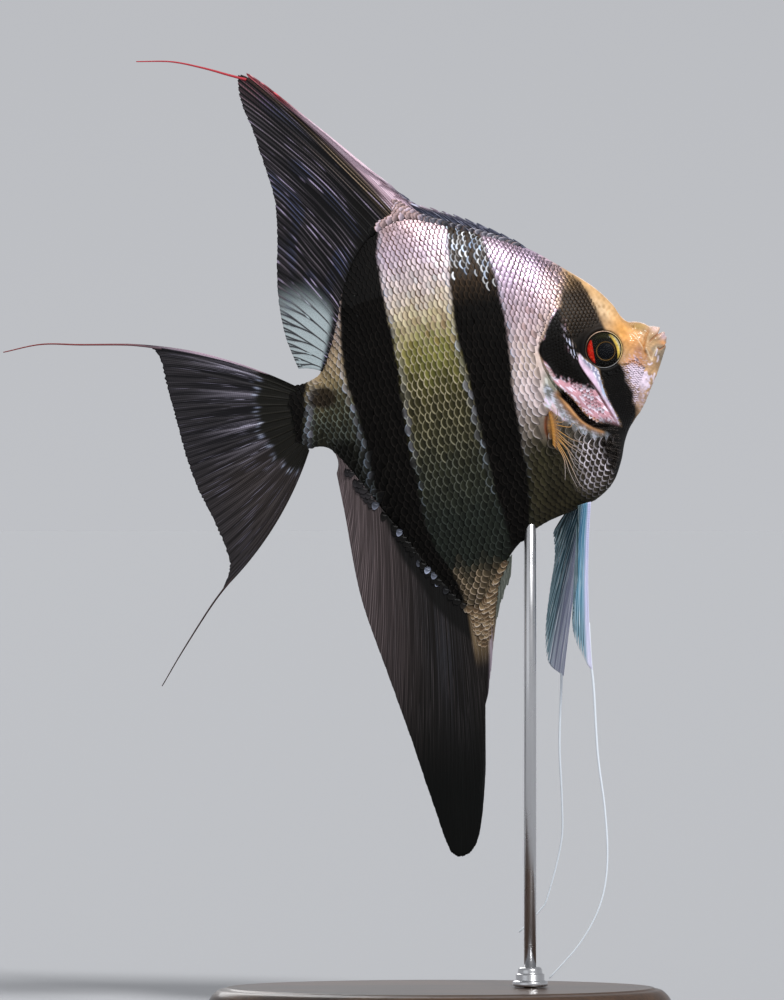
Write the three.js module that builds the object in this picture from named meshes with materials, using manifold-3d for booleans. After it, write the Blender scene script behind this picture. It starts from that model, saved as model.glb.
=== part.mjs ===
// A freshwater angelfish, life size and whole, as a still model on a plain display stand.
// Millimetres, +Z up. The origin is the centre of the underside of the stand's base.
// The fish is drawn in a frame of its own: the origin is the middle of the tail root, +X runs along
// the body to the mouth, +Z is the way the back points and +Y is the fish's left. That frame is then
// tipped nose up and lifted onto the stand.
import * as THREE from "three";
import { mergeVertices } from "three/addons/utils/BufferGeometryUtils.js";
import Module from "manifold-3d";

const wasm = await Module();
wasm.setup();

// ---------------------------------------------------------------- driving dimensions
const NOSE_UP = THREE.MathUtils.degToRad(12);
const TAIL_ROOT_X = -36.4; // the tail root, in the stand's frame
const TAIL_ROOT_Z = 157;
const GAP = 0.3; // between pieces that meet

const BASE = { length: 124, width: 72, height: 9, bevel: 1.6 };
const ROD = { x: 23.4, radius: 1.6, inBase: 6, inBelly: 4, sides: 16 };
const FERRULE = { radius: 4.6, height: 5, flange: 1.4, step: 1.2, shoulder: 2.2, lip: 0.8, sides: 18 };

// The outline of the flesh, in the fish's frame: [distance from the tail root, height].
const BACK = [
  [-1.2, 8.6], [4.5, 9.2], [8.5, 11.5], [13.4, 20.8], [18.4, 32.2], [24, 40.3], [31, 45], [37.5, 46],
  [43, 44.2], [52, 39.8], [60, 35.6], [68, 30.3], [76, 23.2], [82, 17.2], [85.5, 12.2], [87.2, 8.4],
  [89.5, 6.5], [92.5, 5.6], [95.4, 4.3], [97, 2.6],
];
const BELLY = [
  [-1.2, -8.8], [4, -8.7], [7, -10.8], [10, -16.4], [14, -24], [19.4, -34.5], [25, -46], [30, -54.6],
  [34, -58.8], [37.5, -57.2], [41, -52.6], [45, -47.6], [49, -44], [53, -41.6], [58, -39.8], [66, -38.2],
  [72, -36.4], [76.5, -33], [79.5, -28], [81.3, -23.6], [83.4, -20.2], [88, -15.5], [91.4, -10.6],
  [94.2, -5.2], [97, -0.6],
];
// Half the body's thickness at its widest, and the height of that widest line.
const HALF_GIRTH = [
  [-1.2, 1.7], [8, 3.1], [18, 4.8], [30, 6.6], [45, 8.4], [58, 9.2], [70, 9.3], [78, 8.5], [84, 7],
  [88, 5.5], [92, 4.1], [95, 3], [97, 1.5],
];
const WIDEST = [[-1.2, 0], [20, 1.5], [45, 1], [65, -2], [78, -3], [86, -1.5], [92, 0], [97, 1]];
// How round the section is at its upper and lower edge: 0 is a knife edge, 1 is an ellipse.
const ROUND_ABOVE = [[-1.2, 0.5], [10, 0.2], [40, 0.16], [65, 0.3], [80, 0.62], [88, 0.9], [97, 1]];
const ROUND_BELOW = [
  [-1.2, 0.5], [10, 0.16], [36, 0.1], [50, 0.3], [66, 0.5], [82, 0.55], [90, 0.85], [97, 1],
];
const STATIONS = 32;
const RING = 22;

// The gill opening, which parts the head from the trunk, from the nape to the throat.
const GILL_OPENING = [
  [69.6, 40], [68, 30], [66.8, 18], [66.2, 8], [65.8, -2], [66.6, -8.6], [70, -14.2], [75.7, -18.8],
  [81.2, -22.4], [84, -25],
];
const GILL_COVER = [
  [70.5, 8.5], [73, 5.4], [75.2, -4.5], [78.6, -15.2], [76.4, -17.8], [71.4, -14], [67.8, -8.6],
  [66.8, -2], [67.2, 5],
];
const GILL_COVER_DEPTH = 4.4; // distance of its inner wall from the middle plane
const GILL_COVER_REACH = 6; // about the least distance from its middle to its edge
const MOUTH_TIP = [98.5, 2.3];
const MOUTH_CORNER = [91.6, -1.4];
const TAIL_STEM_LENGTH = 8.2;

const EYE = { x: 81.0, z: 0.9, y: 5, radius: 4.7, bulge: 3.6, turns: 16, rings: 9 };

// ---------------------------------------------------------------- the fins, in the fish's frame
// Each fin is a thin plate ruled between its root and its free edge along guide rays:
// [root x, root z, tip x, tip z]. `bow` curves every ray sideways, and `sway` carries the free edge
// off the middle plane.
const DORSAL = {
  rays: [
    [67.8, 29.6, 65.2, 33.0], [62.5, 33.4, 58.0, 38.3], [56.5, 36.7, 51.0, 42.9],
    [50.5, 39.8, 44.0, 46.7], [45.0, 42.6, 37.0, 50.6], [41.5, 44.4, 28.8, 61.4],
    [38.8, 45.2, 16.6, 77.2], [35.5, 45.2, 4.4, 91.0], [31.5, 44.2, 1.8, 85.5],
    [27.0, 41.8, 3.2, 76.5], [22.6, 37.6, 4.4, 66.5], [18.8, 31.8, 5.2, 56.5],
    [15.8, 25.4, 3.6, 46.0], [13.2, 19.4, 1.2, 34.5], [10.6, 14.4, 0.6, 22.5],
    [8.2, 10.6, 2.2, 12.6],
  ],
  bow: [0, 0.8, 1.2, 0.4],
  sway: -3.2,
  halfRoot: 0.6,
  halfEdge: 0.28,
};
const ANAL = {
  rays: [
    [46.6, -46.0, 44.9, -52.2], [43.6, -48.6, 41.2, -57.8], [40.6, -52.4, 37.4, -66.0],
    [37.8, -56.0, 33.4, -79.0], [36.0, -57.8, 30.6, -86.0], [33.4, -57.4, 27.6, -101.5],
    [30.8, -54.8, 22.0, -117.8], [28.0, -50.4, 15.4, -119.6], [24.6, -44.6, 13.0, -106.0],
    [20.8, -36.8, 10.9, -88.0], [16.8, -29.2, 8.6, -71.0], [12.6, -20.8, 5.8, -49.0],
    [9.4, -14.6, 6.2, -27.0], [6.8, -10.2, 6.3, -16.0],
  ],
  bow: [0, -0.6, -1, -0.8],
  sway: 4.2,
  halfRoot: 0.6,
  halfEdge: 0.28,
};
const CAUDAL = {
  rays: [
    [0.6, 8.4, -40.8, 28.5], [0.4, 7.2, -33.4, 24.9], [0.2, 5, -32.4, 14.2],
    [0.2, 2.2, -31.7, 4.4], [0.2, -0.5, -31.2, -4.2], [0.2, -3.2, -30, -12.6],
    [0.2, -5.8, -27.5, -22.2], [0.4, -7.8, -26, -33], [0.6, -8.8, -29, -39.6],
  ],
  bow: [2.4, 0.6, -0.6, -2.6],
  sway: 2.6,
  halfRoot: 0.8,
  halfEdge: 0.28,
};
// Paired fins: [root x, root z, tip x, tip z], with the distance from the middle plane at root and tip.
const PECTORAL = {
  rays: [
    [63.5, -12.0, 69.5, -7.0], [63.4, -13.6, 75.5, -10.6], [63.3, -15.2, 79.4, -17.0],
    [63.2, -16.6, 79.6, -25.0], [63.1, -18.0, 75.8, -31.6], [63.0, -19.4, 70.4, -35.0],
    [62.9, -20.6, 65.4, -33.4],
  ],
  bow: [0.6, 0.3, 0, -0.4],
  out: [8.9, 15.5],
  halfRoot: 0.42,
  halfEdge: 0.26,
};
const VENTRAL_RIGHT = {
  rays: [
    [69.4, -37.0, 60.6, -80.0], [68.4, -37.0, 59.3, -77.0], [67.4, -37.1, 57.8, -70.0],
    [66.6, -37.2, 59.2, -63.0], [65.8, -37.3, 61.8, -56.0],
  ],
  bow: [0.9, 0.6, 0.3, 0],
  out: [2.3, 4.4],
  halfRoot: 0.5,
  halfEdge: 0.3,
};
const VENTRAL_LEFT = {
  rays: [
    [68.6, -37.0, 53.2, -80.0], [67.6, -37.0, 50.0, -75.4], [66.6, -37.1, 51.0, -67.6],
    [65.6, -37.2, 54.0, -58.6], [64.6, -37.3, 57.2, -50.0], [63.6, -37.5, 58.4, -42.6],
  ],
  bow: [0.3, 0.4, 0.4, 0.2],
  out: [2.3, 5.4],
  halfRoot: 0.5,
  halfEdge: 0.3,
};
// Spines stand in the front of the two middle fins and pass its edge by a little.
const SPINES = { radius: 0.55, tip: 0.22, past: 1.4, sides: 4 };
const DORSAL_SPINES = { count: 9, first: 0.03, last: 0.36 };
const ANAL_SPINES = { count: 5, first: 0.015, last: 0.25 };
// Threads that run on past the longest rays: [x, y, z] along each, and its radius at both ends.
const DORSAL_THREAD = {
  points: [
    [4.6, -3.1, 88.8], [0.4, -3.3, 90.9], [-6, -3.4, 94.2], [-13.5, -2.9, 97.4], [-22.3, -1.6, 99.4],
  ],
  radii: [0.42, 0.26],
};
const CAUDAL_UPPER_THREAD = {
  points: [[-37.5, 2.4, 28.2], [-41.5, 2.6, 28.4], [-52, 2.7, 30.6], [-62, 2, 32.8], [-71.9, 0.8, 32.8]],
  radii: [0.42, 0.26],
};
const CAUDAL_LOWER_THREAD = {
  points: [[-27.2, 2.5, -37.8], [-32.6, 2.7, -42.8], [-42.6, 2.4, -53], [-49.6, 1.6, -60.7]],
  radii: [0.42, 0.26],
};
const VENTRAL_RIGHT_THREAD = {
  points: [
    [61.2, -4.2, -76], [60.2, -4.6, -84], [57.4, -5.6, -101.5], [56.2, -6.4, -116], [53.9, -7.2, -129.5],
    [49.8, -8, -139.6], [42.6, -8.4, -148.2], [33.1, -8.8, -155.3],
  ],
  radii: [0.7, 0.28],
};
const VENTRAL_LEFT_THREAD = {
  points: [
    [54.4, 5.2, -76], [52.1, 5.6, -82], [48.4, 6.8, -97.5], [46, 7.8, -112], [43.6, 8.6, -122.4],
    [37.2, 9.4, -135.6], [34.4, 9.8, -138.8], [28, 10.4, -143.2],
  ],
  radii: [0.7, 0.28],
};

// ---------------------------------------------------------------- curves
// A smooth height for every x between knots, with a slope at each knot taken from its neighbours.
function through(knots) {
  const slope = knots.map((_, i) => {
    const [x0, z0] = knots[Math.max(i - 1, 0)];
    const [x1, z1] = knots[Math.min(i + 1, knots.length - 1)];
    return (z1 - z0) / (x1 - x0);
  });
  return (x) => {
    let i = 0;
    while (i < knots.length - 2 && x > knots[i + 1][0]) i++;
    const [[x0, z0], [x1, z1]] = [knots[i], knots[i + 1]];
    const span = x1 - x0;
    const t = THREE.MathUtils.clamp((x - x0) / span, 0, 1);
    const [t2, t3] = [t * t, t * t * t];
    return (
      (2 * t3 - 3 * t2 + 1) * z0 + (t3 - 2 * t2 + t) * span * slope[i] +
      (3 * t2 - 2 * t3) * z1 + (t3 - t2) * span * slope[i + 1]
    );
  };
}
const curveThrough = (points) => new THREE.CatmullRomCurve3(points, false, "catmullrom", 0.5);

// ---------------------------------------------------------------- solids
function closedGeometry(vertices, triangles) {
  const geometry = new THREE.BufferGeometry();
  const numbers = vertices.flatMap((v) => v.toArray());
  geometry.setAttribute("position", new THREE.Float32BufferAttribute(numbers, 3));
  geometry.setIndex(triangles.flat());
  return geometry;
}

const WELD = 1e-4; // corners nearer than this are one
function solidOf(geometry) {
  const bare = new THREE.BufferGeometry();
  const loose = geometry.index ? geometry.toNonIndexed() : geometry;
  bare.setAttribute("position", loose.getAttribute("position"));
  const merged = mergeVertices(bare, WELD);
  const mesh = {
    numProp: 3,
    vertProperties: merged.attributes.position.array,
    triVerts: new Uint32Array(merged.index.array),
  };
  const made = new wasm.Manifold(new wasm.Mesh(mesh));
  if (made.volume() > 0) return made;
  for (let i = 0; i < mesh.triVerts.length; i += 3) {
    [mesh.triVerts[i + 1], mesh.triVerts[i + 2]] = [mesh.triVerts[i + 2], mesh.triVerts[i + 1]];
  }
  return new wasm.Manifold(new wasm.Mesh(mesh));
}

function geometryOf(solid) {
  const mesh = solid.getMesh();
  const geometry = new THREE.BufferGeometry();
  geometry.setAttribute("position", new THREE.BufferAttribute(Float32Array.from(mesh.vertProperties), 3));
  geometry.setIndex(Array.from(mesh.triVerts));
  return geometry;
}

// The one body of a solid that holds nearly all of it, without the crumbs that a cut may leave.
function largest(solid) {
  return solid.decompose().sort((a, b) => b.volume() - a.volume())[0];
}

// A closed solid through rings of points, with a fan at each end.
function loft(rings) {
  const vertices = rings.flat();
  const size = rings[0].length;
  const triangles = [];
  for (let r = 0; r + 1 < rings.length; r++) {
    for (let k = 0; k < size; k++) {
      const [a, b] = [r * size + k, r * size + ((k + 1) % size)];
      triangles.push([a, b, b + size], [a, b + size, a + size]);
    }
  }
  for (const [first, turn] of [[0, true], [(rings.length - 1) * size, false]]) {
    const centre = rings[first / size].reduce((sum, p) => sum.add(p), new THREE.Vector3());
    vertices.push(centre.divideScalar(size));
    for (let k = 0; k < size; k++) {
      const [a, b] = [first + k, first + ((k + 1) % size)];
      triangles.push(turn ? [b, a, vertices.length - 1] : [a, b, vertices.length - 1]);
    }
  }
  return closedGeometry(vertices, triangles);
}

const THREAD_SIDES = 6;
// A thread: a six-sided section swept along a curve and tapering to its end.
function thread({ points, radii }, steps = 10) {
  const curve = curveThrough(points.map((p) => new THREE.Vector3(...p)));
  const { normals, binormals } = curve.computeFrenetFrames(steps, false);
  const rings = normals.map((normal, i) => {
    const centre = curve.getPointAt(i / steps);
    const radius = THREE.MathUtils.lerp(radii[0], radii[1], i / steps);
    return Array.from({ length: THREAD_SIDES }, (_, k) => {
      const angle = (k / THREAD_SIDES) * 2 * Math.PI;
      return centre.clone()
        .addScaledVector(normal, radius * Math.cos(angle))
        .addScaledVector(binormals[i], radius * Math.sin(angle));
    });
  });
  return solidOf(loft(rings));
}

const FULL_SWAY_LENGTH = 40; // shorter rays sway less
// A point of a fin: `across` runs from its front ray to its rear ray, `along` from root to edge.
function finSurface({ rays, bow, sway = 0, out = null }, side = 1) {
  const at = (x, z, y) => new THREE.Vector3(x, y, z);
  const roots = curveThrough(rays.map(([x, z]) => at(x, z, out ? side * out[0] : 0)));
  const tips = curveThrough(rays.map(([, , x, z]) => at(x, z, out ? side * out[1] : sway)));
  const bowAt = through(bow.map((b, i) => [i / (bow.length - 1), b]));
  return (across, along) => {
    const root = roots.getPoint(across);
    const tip = tips.getPoint(across);
    const sideways = new THREE.Vector3(root.z - tip.z, 0, tip.x - root.x).normalize();
    const point = new THREE.Vector3().lerpVectors(root, tip, along);
    if (!out) point.y = sway * Math.min(1, root.distanceTo(tip) / FULL_SWAY_LENGTH) * along * along;
    return point.addScaledVector(sideways, -bowAt(across) * 4 * along * (1 - along));
  };
}

// The fin's plate, with the thickness running from its root to its edge.
function finPlate(fin, acrossSteps, alongSteps, side = 1) {
  const surface = finSurface(fin, side);
  const vertices = [];
  const id = (face, i, j) => face * (acrossSteps + 1) * (alongSteps + 1) + i * (alongSteps + 1) + j;
  const step = 1e-3;
  for (const face of [1, -1]) {
    for (let i = 0; i <= acrossSteps; i++) {
      for (let j = 0; j <= alongSteps; j++) {
        const [s, t] = [i / acrossSteps, j / alongSteps];
        const ds = surface(Math.min(s + step, 1), t).sub(surface(Math.max(s - step, 0), t));
        const dt = surface(s, Math.min(t + step, 1)).sub(surface(s, Math.max(t - step, 0)));
        const half = THREE.MathUtils.lerp(fin.halfRoot, fin.halfEdge, t);
        vertices.push(surface(s, t).addScaledVector(ds.cross(dt).normalize(), face * half));
      }
    }
  }
  const triangles = [];
  const quad = (a, b, c, d) => triangles.push([a, b, c], [a, c, d]);
  for (let i = 0; i < acrossSteps; i++) {
    for (let j = 0; j < alongSteps; j++) {
      quad(id(0, i, j), id(0, i + 1, j), id(0, i + 1, j + 1), id(0, i, j + 1));
      quad(id(1, i, j), id(1, i, j + 1), id(1, i + 1, j + 1), id(1, i + 1, j));
    }
    quad(id(0, i, alongSteps), id(0, i + 1, alongSteps), id(1, i + 1, alongSteps), id(1, i, alongSteps));
    quad(id(0, i + 1, 0), id(0, i, 0), id(1, i, 0), id(1, i + 1, 0));
  }
  for (let j = 0; j < alongSteps; j++) {
    quad(id(0, 0, j), id(0, 0, j + 1), id(1, 0, j + 1), id(1, 0, j));
    const last = acrossSteps;
    quad(id(0, last, j + 1), id(0, last, j), id(1, last, j), id(1, last, j + 1));
  }
  return solidOf(closedGeometry(vertices, triangles));
}

// The spines of a middle fin, each a slender cone lying in the plate along its ray.
function spines(fin, { count, first, last }) {
  const surface = finSurface(fin);
  return Array.from({ length: count }, (_, i) => {
    const across = THREE.MathUtils.lerp(first, last, i / (count - 1));
    const [root, tip] = [surface(across, 0.02), surface(across, 1)];
    const length = root.distanceTo(tip) + SPINES.past;
    const cone = new THREE.CylinderGeometry(SPINES.tip, SPINES.radius, length, SPINES.sides);
    const upright = new THREE.Vector3(0, 1, 0);
    const lie = new THREE.Quaternion().setFromUnitVectors(upright, tip.clone().sub(root).normalize());
    const middle = root.clone().addScaledVector(tip.clone().sub(root).normalize(), length / 2);
    return solidOf(cone.applyQuaternion(lie).translate(...middle.toArray()));
  }).reduce((sum, spine) => sum.add(spine));
}

// The whole flesh, from the tail root to the lips, as one loft. `grow` swells it on every side.
function fleshLoft(grow = 0) {
  const [back, belly, girth, widest, above, below] =
    [BACK, BELLY, HALF_GIRTH, WIDEST, ROUND_ABOVE, ROUND_BELOW].map(through);
  const [first, last] = [BACK[0][0], BACK.at(-1)[0]];
  const rings = Array.from({ length: STATIONS + 1 }, (_, i) => {
    const x = THREE.MathUtils.lerp(first, last, i / STATIONS);
    const shifted = THREE.MathUtils.lerp(first - grow, last + grow, i / STATIONS);
    return Array.from({ length: RING }, (_, k) => {
      const angle = (k / RING) * 2 * Math.PI;
      const [c, s] = [Math.cos(angle), Math.sin(angle)];
      const middle = widest(x);
      const reach = s >= 0 ? back(x) + grow - middle : middle - belly(x) + grow;
      const round = s >= 0 ? above(x) : below(x);
      const half = (girth(x) + grow) * c * (round + (1 - round) * Math.abs(c));
      return new THREE.Vector3(shifted, half, middle + reach * s);
    });
  });
  return solidOf(loft(rings));
}

// A prism through the whole fish from an outline in its XZ plane.
const PRISM_WIDTH = 60;
const PRISM_CURVE_STEPS = 24;
function prism(outline, { smooth = true } = {}) {
  const points = outline.map(([x, z]) => new THREE.Vector2(x, z));
  const rounded = () => new THREE.SplineCurve([...points, points[0]]).getPoints(PRISM_CURVE_STEPS);
  const shape = new THREE.Shape(smooth ? rounded() : points);
  const geometry = new THREE.ExtrudeGeometry(shape, { depth: PRISM_WIDTH, bevelEnabled: false });
  geometry.translate(0, 0, -PRISM_WIDTH / 2).rotateX(Math.PI / 2);
  return solidOf(geometry);
}

function slab(width, height, depth, x, y, z) {
  return solidOf(new THREE.BoxGeometry(width, height, depth)).translate([x, y, z]);
}

// ---------------------------------------------------------------- the fish's pieces
const paint = (color, roughness, metalness = 0) =>
  new THREE.MeshStandardMaterial({ color, roughness, metalness });
const SCALES = paint(0x9a8f72, 0.35, 0.15);
const FACE = paint(0xc79a62, 0.4);
const FIN = paint(0x4a4550, 0.5);
const PALE_FIN = paint(0xa9cde6, 0.4);
const EYE_PAINT = paint(0x14100c, 0.08);
const BASE_PAINT = paint(0x2a1b12, 0.35);
const STEEL = paint(0xb9bcc0, 0.3, 1);

const fish = new THREE.Group();
fish.rotation.y = -NOSE_UP;
fish.position.set(TAIL_ROOT_X, 0, TAIL_ROOT_Z);
const stand = new THREE.Group();

function addPiece(group, name, solid, material) {
  const mesh = new THREE.Mesh(geometryOf(solid), material);
  mesh.name = name;
  group.add(mesh);
}

// The stand's rod as the fish's frame sees it, for the socket that it enters in the belly.
function standToFish(solid) {
  const degrees = THREE.MathUtils.radToDeg(NOSE_UP);
  return solid.translate([-TAIL_ROOT_X, 0, -TAIL_ROOT_Z]).rotate([0, degrees, 0]);
}

const bellyHeightAtRod = (() => {
  // Walks along the belly line until it is above the rod, and returns that height over the floor.
  const belly = through(BELLY);
  const [from, to, step] = [30, 80, 0.05];
  for (let x = from; x < to; x += step) {
    const z = belly(x);
    const worldX = TAIL_ROOT_X + x * Math.cos(NOSE_UP) - z * Math.sin(NOSE_UP);
    if (worldX >= ROD.x) return TAIL_ROOT_Z + x * Math.sin(NOSE_UP) + z * Math.cos(NOSE_UP);
  }
  throw new Error("the rod is not under the belly");
})();

function rodSolid(grow) {
  const bottom = BASE.height - ROD.inBase - grow;
  const top = bellyHeightAtRod + ROD.inBelly + grow;
  const geometry = new THREE.CylinderGeometry(ROD.radius + grow, ROD.radius + grow, top - bottom, ROD.sides);
  return solidOf(geometry.rotateX(Math.PI / 2)).translate([ROD.x, 0, (top + bottom) / 2]);
}

const flesh = fleshLoft().subtract(standToFish(rodSolid(GAP)));
const grownFlesh = fleshLoft(GAP);

// Head, trunk and tail stem.
const FAR = 130;
const CLEAR_OF_FLESH = 20; // how far past the gill opening's ends its prism reaches
function inFront(points, shift) {
  const corners = [[FAR, points.at(-1)[1] - 2 * CLEAR_OF_FLESH], [FAR, points[0][1] + CLEAR_OF_FLESH]];
  return prism([...points.map(([x, z]) => [x + shift, z]), ...corners], { smooth: false });
}
const GILL_STEPS = 18;
const gillSpline = new THREE.SplineCurve(GILL_OPENING.map((p) => new THREE.Vector2(...p)));
const gillCurve = gillSpline.getPoints(GILL_STEPS).map((p) => [p.x, p.y]);
const stemBox = slab(FAR, PRISM_WIDTH, 2 * FAR, TAIL_STEM_LENGTH - FAR / 2, 0, 0);
const wholeHead = flesh.intersect(inFront(gillCurve, GAP / 2));
const trunk = flesh.subtract(inFront(gillCurve, -GAP / 2)).subtract(stemBox.translate([GAP / 2, 0, 0]));
const tailStem = flesh.intersect(stemBox.translate([-GAP / 2, 0, 0]));

// Jaws: what lies in front of the mouth's corner, above and below the slit.
const [tipX, tipZ] = MOUTH_TIP;
const [cornerX, cornerZ] = MOUTH_CORNER;
const JAWS = { past: 3, above: 12, below: -18, upperLean: 0.4, lowerLean: 2.8 };
const upperJawOutline = [
  [tipX, tipZ], [tipX + JAWS.past, JAWS.above], [cornerX - JAWS.upperLean, JAWS.above], [cornerX, cornerZ],
];
const lowerJawOutline = [
  [tipX, tipZ], [cornerX, cornerZ], [cornerX - JAWS.lowerLean, JAWS.below], [tipX + JAWS.past, JAWS.below],
];
const shrunkBy = (outline, dx, dz) => prism(outline.map(([x, z]) => [x + dx, z + dz]), { smooth: false });
const jawSpace = prism(upperJawOutline, { smooth: false }).add(prism(lowerJawOutline, { smooth: false }));
const upperJaw = largest(wholeHead.intersect(shrunkBy(upperJawOutline, GAP, GAP / 2)));
const lowerJaw = largest(wholeHead.intersect(shrunkBy(lowerJawOutline, GAP, -GAP / 2)));

// Eyes: flattened globes, each in a socket of its own.
function eyeSolid(side, grow) {
  const globe = new THREE.SphereGeometry(1, EYE.turns, EYE.rings);
  globe.scale(EYE.radius + grow, EYE.bulge + grow, EYE.radius + grow);
  return solidOf(globe.translate(EYE.x, side * EYE.y, EYE.z));
}

// Gill covers: plates let into the sides of the head.
function gillCoverSolid(side, grow) {
  const share = 1 / GILL_COVER.length;
  const [midX, midZ] = GILL_COVER.reduce(([sx, sz], [x, z]) => [sx + x * share, sz + z * share], [0, 0]);
  const swell = 1 + grow / GILL_COVER_REACH;
  const outline = GILL_COVER.map(([x, z]) => [midX + (x - midX) * swell, midZ + (z - midZ) * swell]);
  const outerY = side * (GILL_COVER_DEPTH - grow + PRISM_WIDTH / 2);
  const outer = slab(FAR, PRISM_WIDTH, 2 * FAR, cornerX, outerY, 0);
  return prism(outline).intersect(outer);
}

const SIDES = [["left", 1], ["right", -1]];
let head = wholeHead.subtract(jawSpace);
for (const [, side] of SIDES) {
  head = head.subtract(eyeSolid(side, GAP)).subtract(gillCoverSolid(side, GAP));
}
addPiece(fish, "head", largest(head), FACE);
addPiece(fish, "upper_jaw", upperJaw, FACE);
addPiece(fish, "lower_jaw", lowerJaw, FACE);
addPiece(fish, "trunk", largest(trunk), SCALES);
addPiece(fish, "tail_stem", largest(tailStem), SCALES);
for (const [name, side] of SIDES) {
  addPiece(fish, `eye_${name}`, eyeSolid(side, 0), EYE_PAINT);
  addPiece(fish, `gill_cover_${name}`, largest(wholeHead.intersect(gillCoverSolid(side, 0))), SCALES);
}

// Fins of the middle plane, each one piece with its threads.
function middleFin(name, plate, ...extras) {
  const whole = extras.reduce((sum, extra) => sum.add(extra), plate);
  addPiece(fish, name, largest(whole.subtract(grownFlesh)), FIN);
}
middleFin("dorsal_fin", finPlate(DORSAL, 26, 4), thread(DORSAL_THREAD), spines(DORSAL, DORSAL_SPINES));
middleFin("anal_fin", finPlate(ANAL, 22, 4), spines(ANAL, ANAL_SPINES));
middleFin("caudal_fin", finPlate(CAUDAL, 16, 4), thread(CAUDAL_UPPER_THREAD), thread(CAUDAL_LOWER_THREAD));

// Paired fins.
for (const [name, side] of SIDES) {
  const pectoral = finPlate(PECTORAL, 10, 3, side).subtract(grownFlesh);
  addPiece(fish, `pectoral_fin_${name}`, largest(pectoral), FIN);
}
const LONG_THREAD_STEPS = 18;
const rightVentral = finPlate(VENTRAL_RIGHT, 6, 5, -1).add(thread(VENTRAL_RIGHT_THREAD, LONG_THREAD_STEPS));
const leftVentral = finPlate(VENTRAL_LEFT, 8, 5, 1).add(thread(VENTRAL_LEFT_THREAD, LONG_THREAD_STEPS));
addPiece(fish, "ventral_fin_right", largest(rightVentral.subtract(grownFlesh)), PALE_FIN);
addPiece(fish, "ventral_fin_left", largest(leftVentral.subtract(grownFlesh)), PALE_FIN);

// ---------------------------------------------------------------- the stand
const [halfLength, halfWidth] = [BASE.length / 2 - BASE.bevel, BASE.width / 2 - BASE.bevel];
const oval = new THREE.Shape().absellipse(0, 0, halfLength, halfWidth, 0, 2 * Math.PI);
const slabOfBase = new THREE.ExtrudeGeometry(oval, {
  depth: BASE.height - 2 * BASE.bevel,
  bevelThickness: BASE.bevel,
  bevelSize: BASE.bevel,
  bevelSegments: 2,
  curveSegments: 22,
});
slabOfBase.translate(0, 0, BASE.bevel);
addPiece(stand, "stand_base", solidOf(slabOfBase).subtract(rodSolid(GAP)), BASE_PAINT);
addPiece(stand, "stand_rod", rodSolid(0), STEEL);

// The ferrule that hides the hole where the rod enters the base.
const inner = ROD.radius + GAP;
const ferruleProfile = [
  [inner, 0], [FERRULE.radius, 0], [FERRULE.radius, FERRULE.flange],
  [FERRULE.radius - FERRULE.step, FERRULE.shoulder], [inner + FERRULE.lip, FERRULE.height],
  [inner, FERRULE.height], [inner, 0],
].map((p) => new THREE.Vector2(...p));
const ferrule = new THREE.LatheGeometry(ferruleProfile, FERRULE.sides).rotateX(Math.PI / 2);
addPiece(stand, "stand_ferrule", solidOf(ferrule).translate([ROD.x, 0, BASE.height + GAP]), STEEL);

const model = new THREE.Group();
model.add(fish, stand);
export default model;
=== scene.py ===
"""A freshwater angelfish, life size, as a still model held by one rod on a plain oval stand."""
import math

import bmesh
import bpy
import numpy as np
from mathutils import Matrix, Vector


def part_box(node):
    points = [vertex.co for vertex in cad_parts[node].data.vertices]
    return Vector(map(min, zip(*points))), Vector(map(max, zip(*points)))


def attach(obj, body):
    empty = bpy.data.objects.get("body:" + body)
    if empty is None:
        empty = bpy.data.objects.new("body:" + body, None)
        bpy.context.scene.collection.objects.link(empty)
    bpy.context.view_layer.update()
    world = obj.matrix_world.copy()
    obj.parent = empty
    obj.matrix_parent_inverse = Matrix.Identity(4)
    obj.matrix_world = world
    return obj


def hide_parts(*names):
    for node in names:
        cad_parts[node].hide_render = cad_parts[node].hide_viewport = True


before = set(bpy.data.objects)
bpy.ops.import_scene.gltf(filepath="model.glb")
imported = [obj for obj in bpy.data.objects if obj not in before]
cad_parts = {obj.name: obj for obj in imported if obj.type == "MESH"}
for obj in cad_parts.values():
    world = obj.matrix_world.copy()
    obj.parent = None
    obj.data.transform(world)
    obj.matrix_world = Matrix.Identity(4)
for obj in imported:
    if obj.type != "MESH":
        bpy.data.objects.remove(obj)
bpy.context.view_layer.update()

# ------------------------------------------------------------------------------------------------
# The room. A pale floor that runs out to the horizon, a pale sky of light round it, and three soft
# lamps: a key high on the fish's right and ahead of it, a weak fill, and one behind.
# ------------------------------------------------------------------------------------------------
MM = 0.001
VIEW_CENTRE = (-12.5 * MM, 135.7 * MM)  # x and height that the camera looks at
VIEW_HEIGHT = 260 * MM
LENS, SENSOR = 260.0, 36.0

camera = bpy.data.objects.new("camera", bpy.data.cameras.new("camera"))
camera.data.lens = LENS
camera.data.sensor_width = SENSOR
camera.data.clip_start = 0.01
camera.data.clip_end = 60
camera.location = (VIEW_CENTRE[0], -LENS * VIEW_HEIGHT / SENSOR, VIEW_CENTRE[1])
camera.rotation_euler = (math.radians(90), 0, 0)
bpy.context.collection.objects.link(camera)
bpy.context.scene.camera = camera

FLOOR_COLOUR = (0.386, 0.393, 0.409, 1)
floor_mesh = bpy.data.meshes.new("floor")
floor_form = bmesh.new()
bmesh.ops.create_circle(floor_form, cap_ends=True, radius=30, segments=96)
floor_form.to_mesh(floor_mesh)
floor_form.free()
floor_paint = bpy.data.materials.new("floor_paper")
floor_paint.use_nodes = True
floor_paint.node_tree.nodes["Principled BSDF"].inputs["Base Color"].default_value = FLOOR_COLOUR
floor_paint.node_tree.nodes["Principled BSDF"].inputs["Roughness"].default_value = 0.9
floor_mesh.materials.append(floor_paint)
floor = bpy.data.objects.new("floor", floor_mesh)
bpy.context.collection.objects.link(floor)

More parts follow.
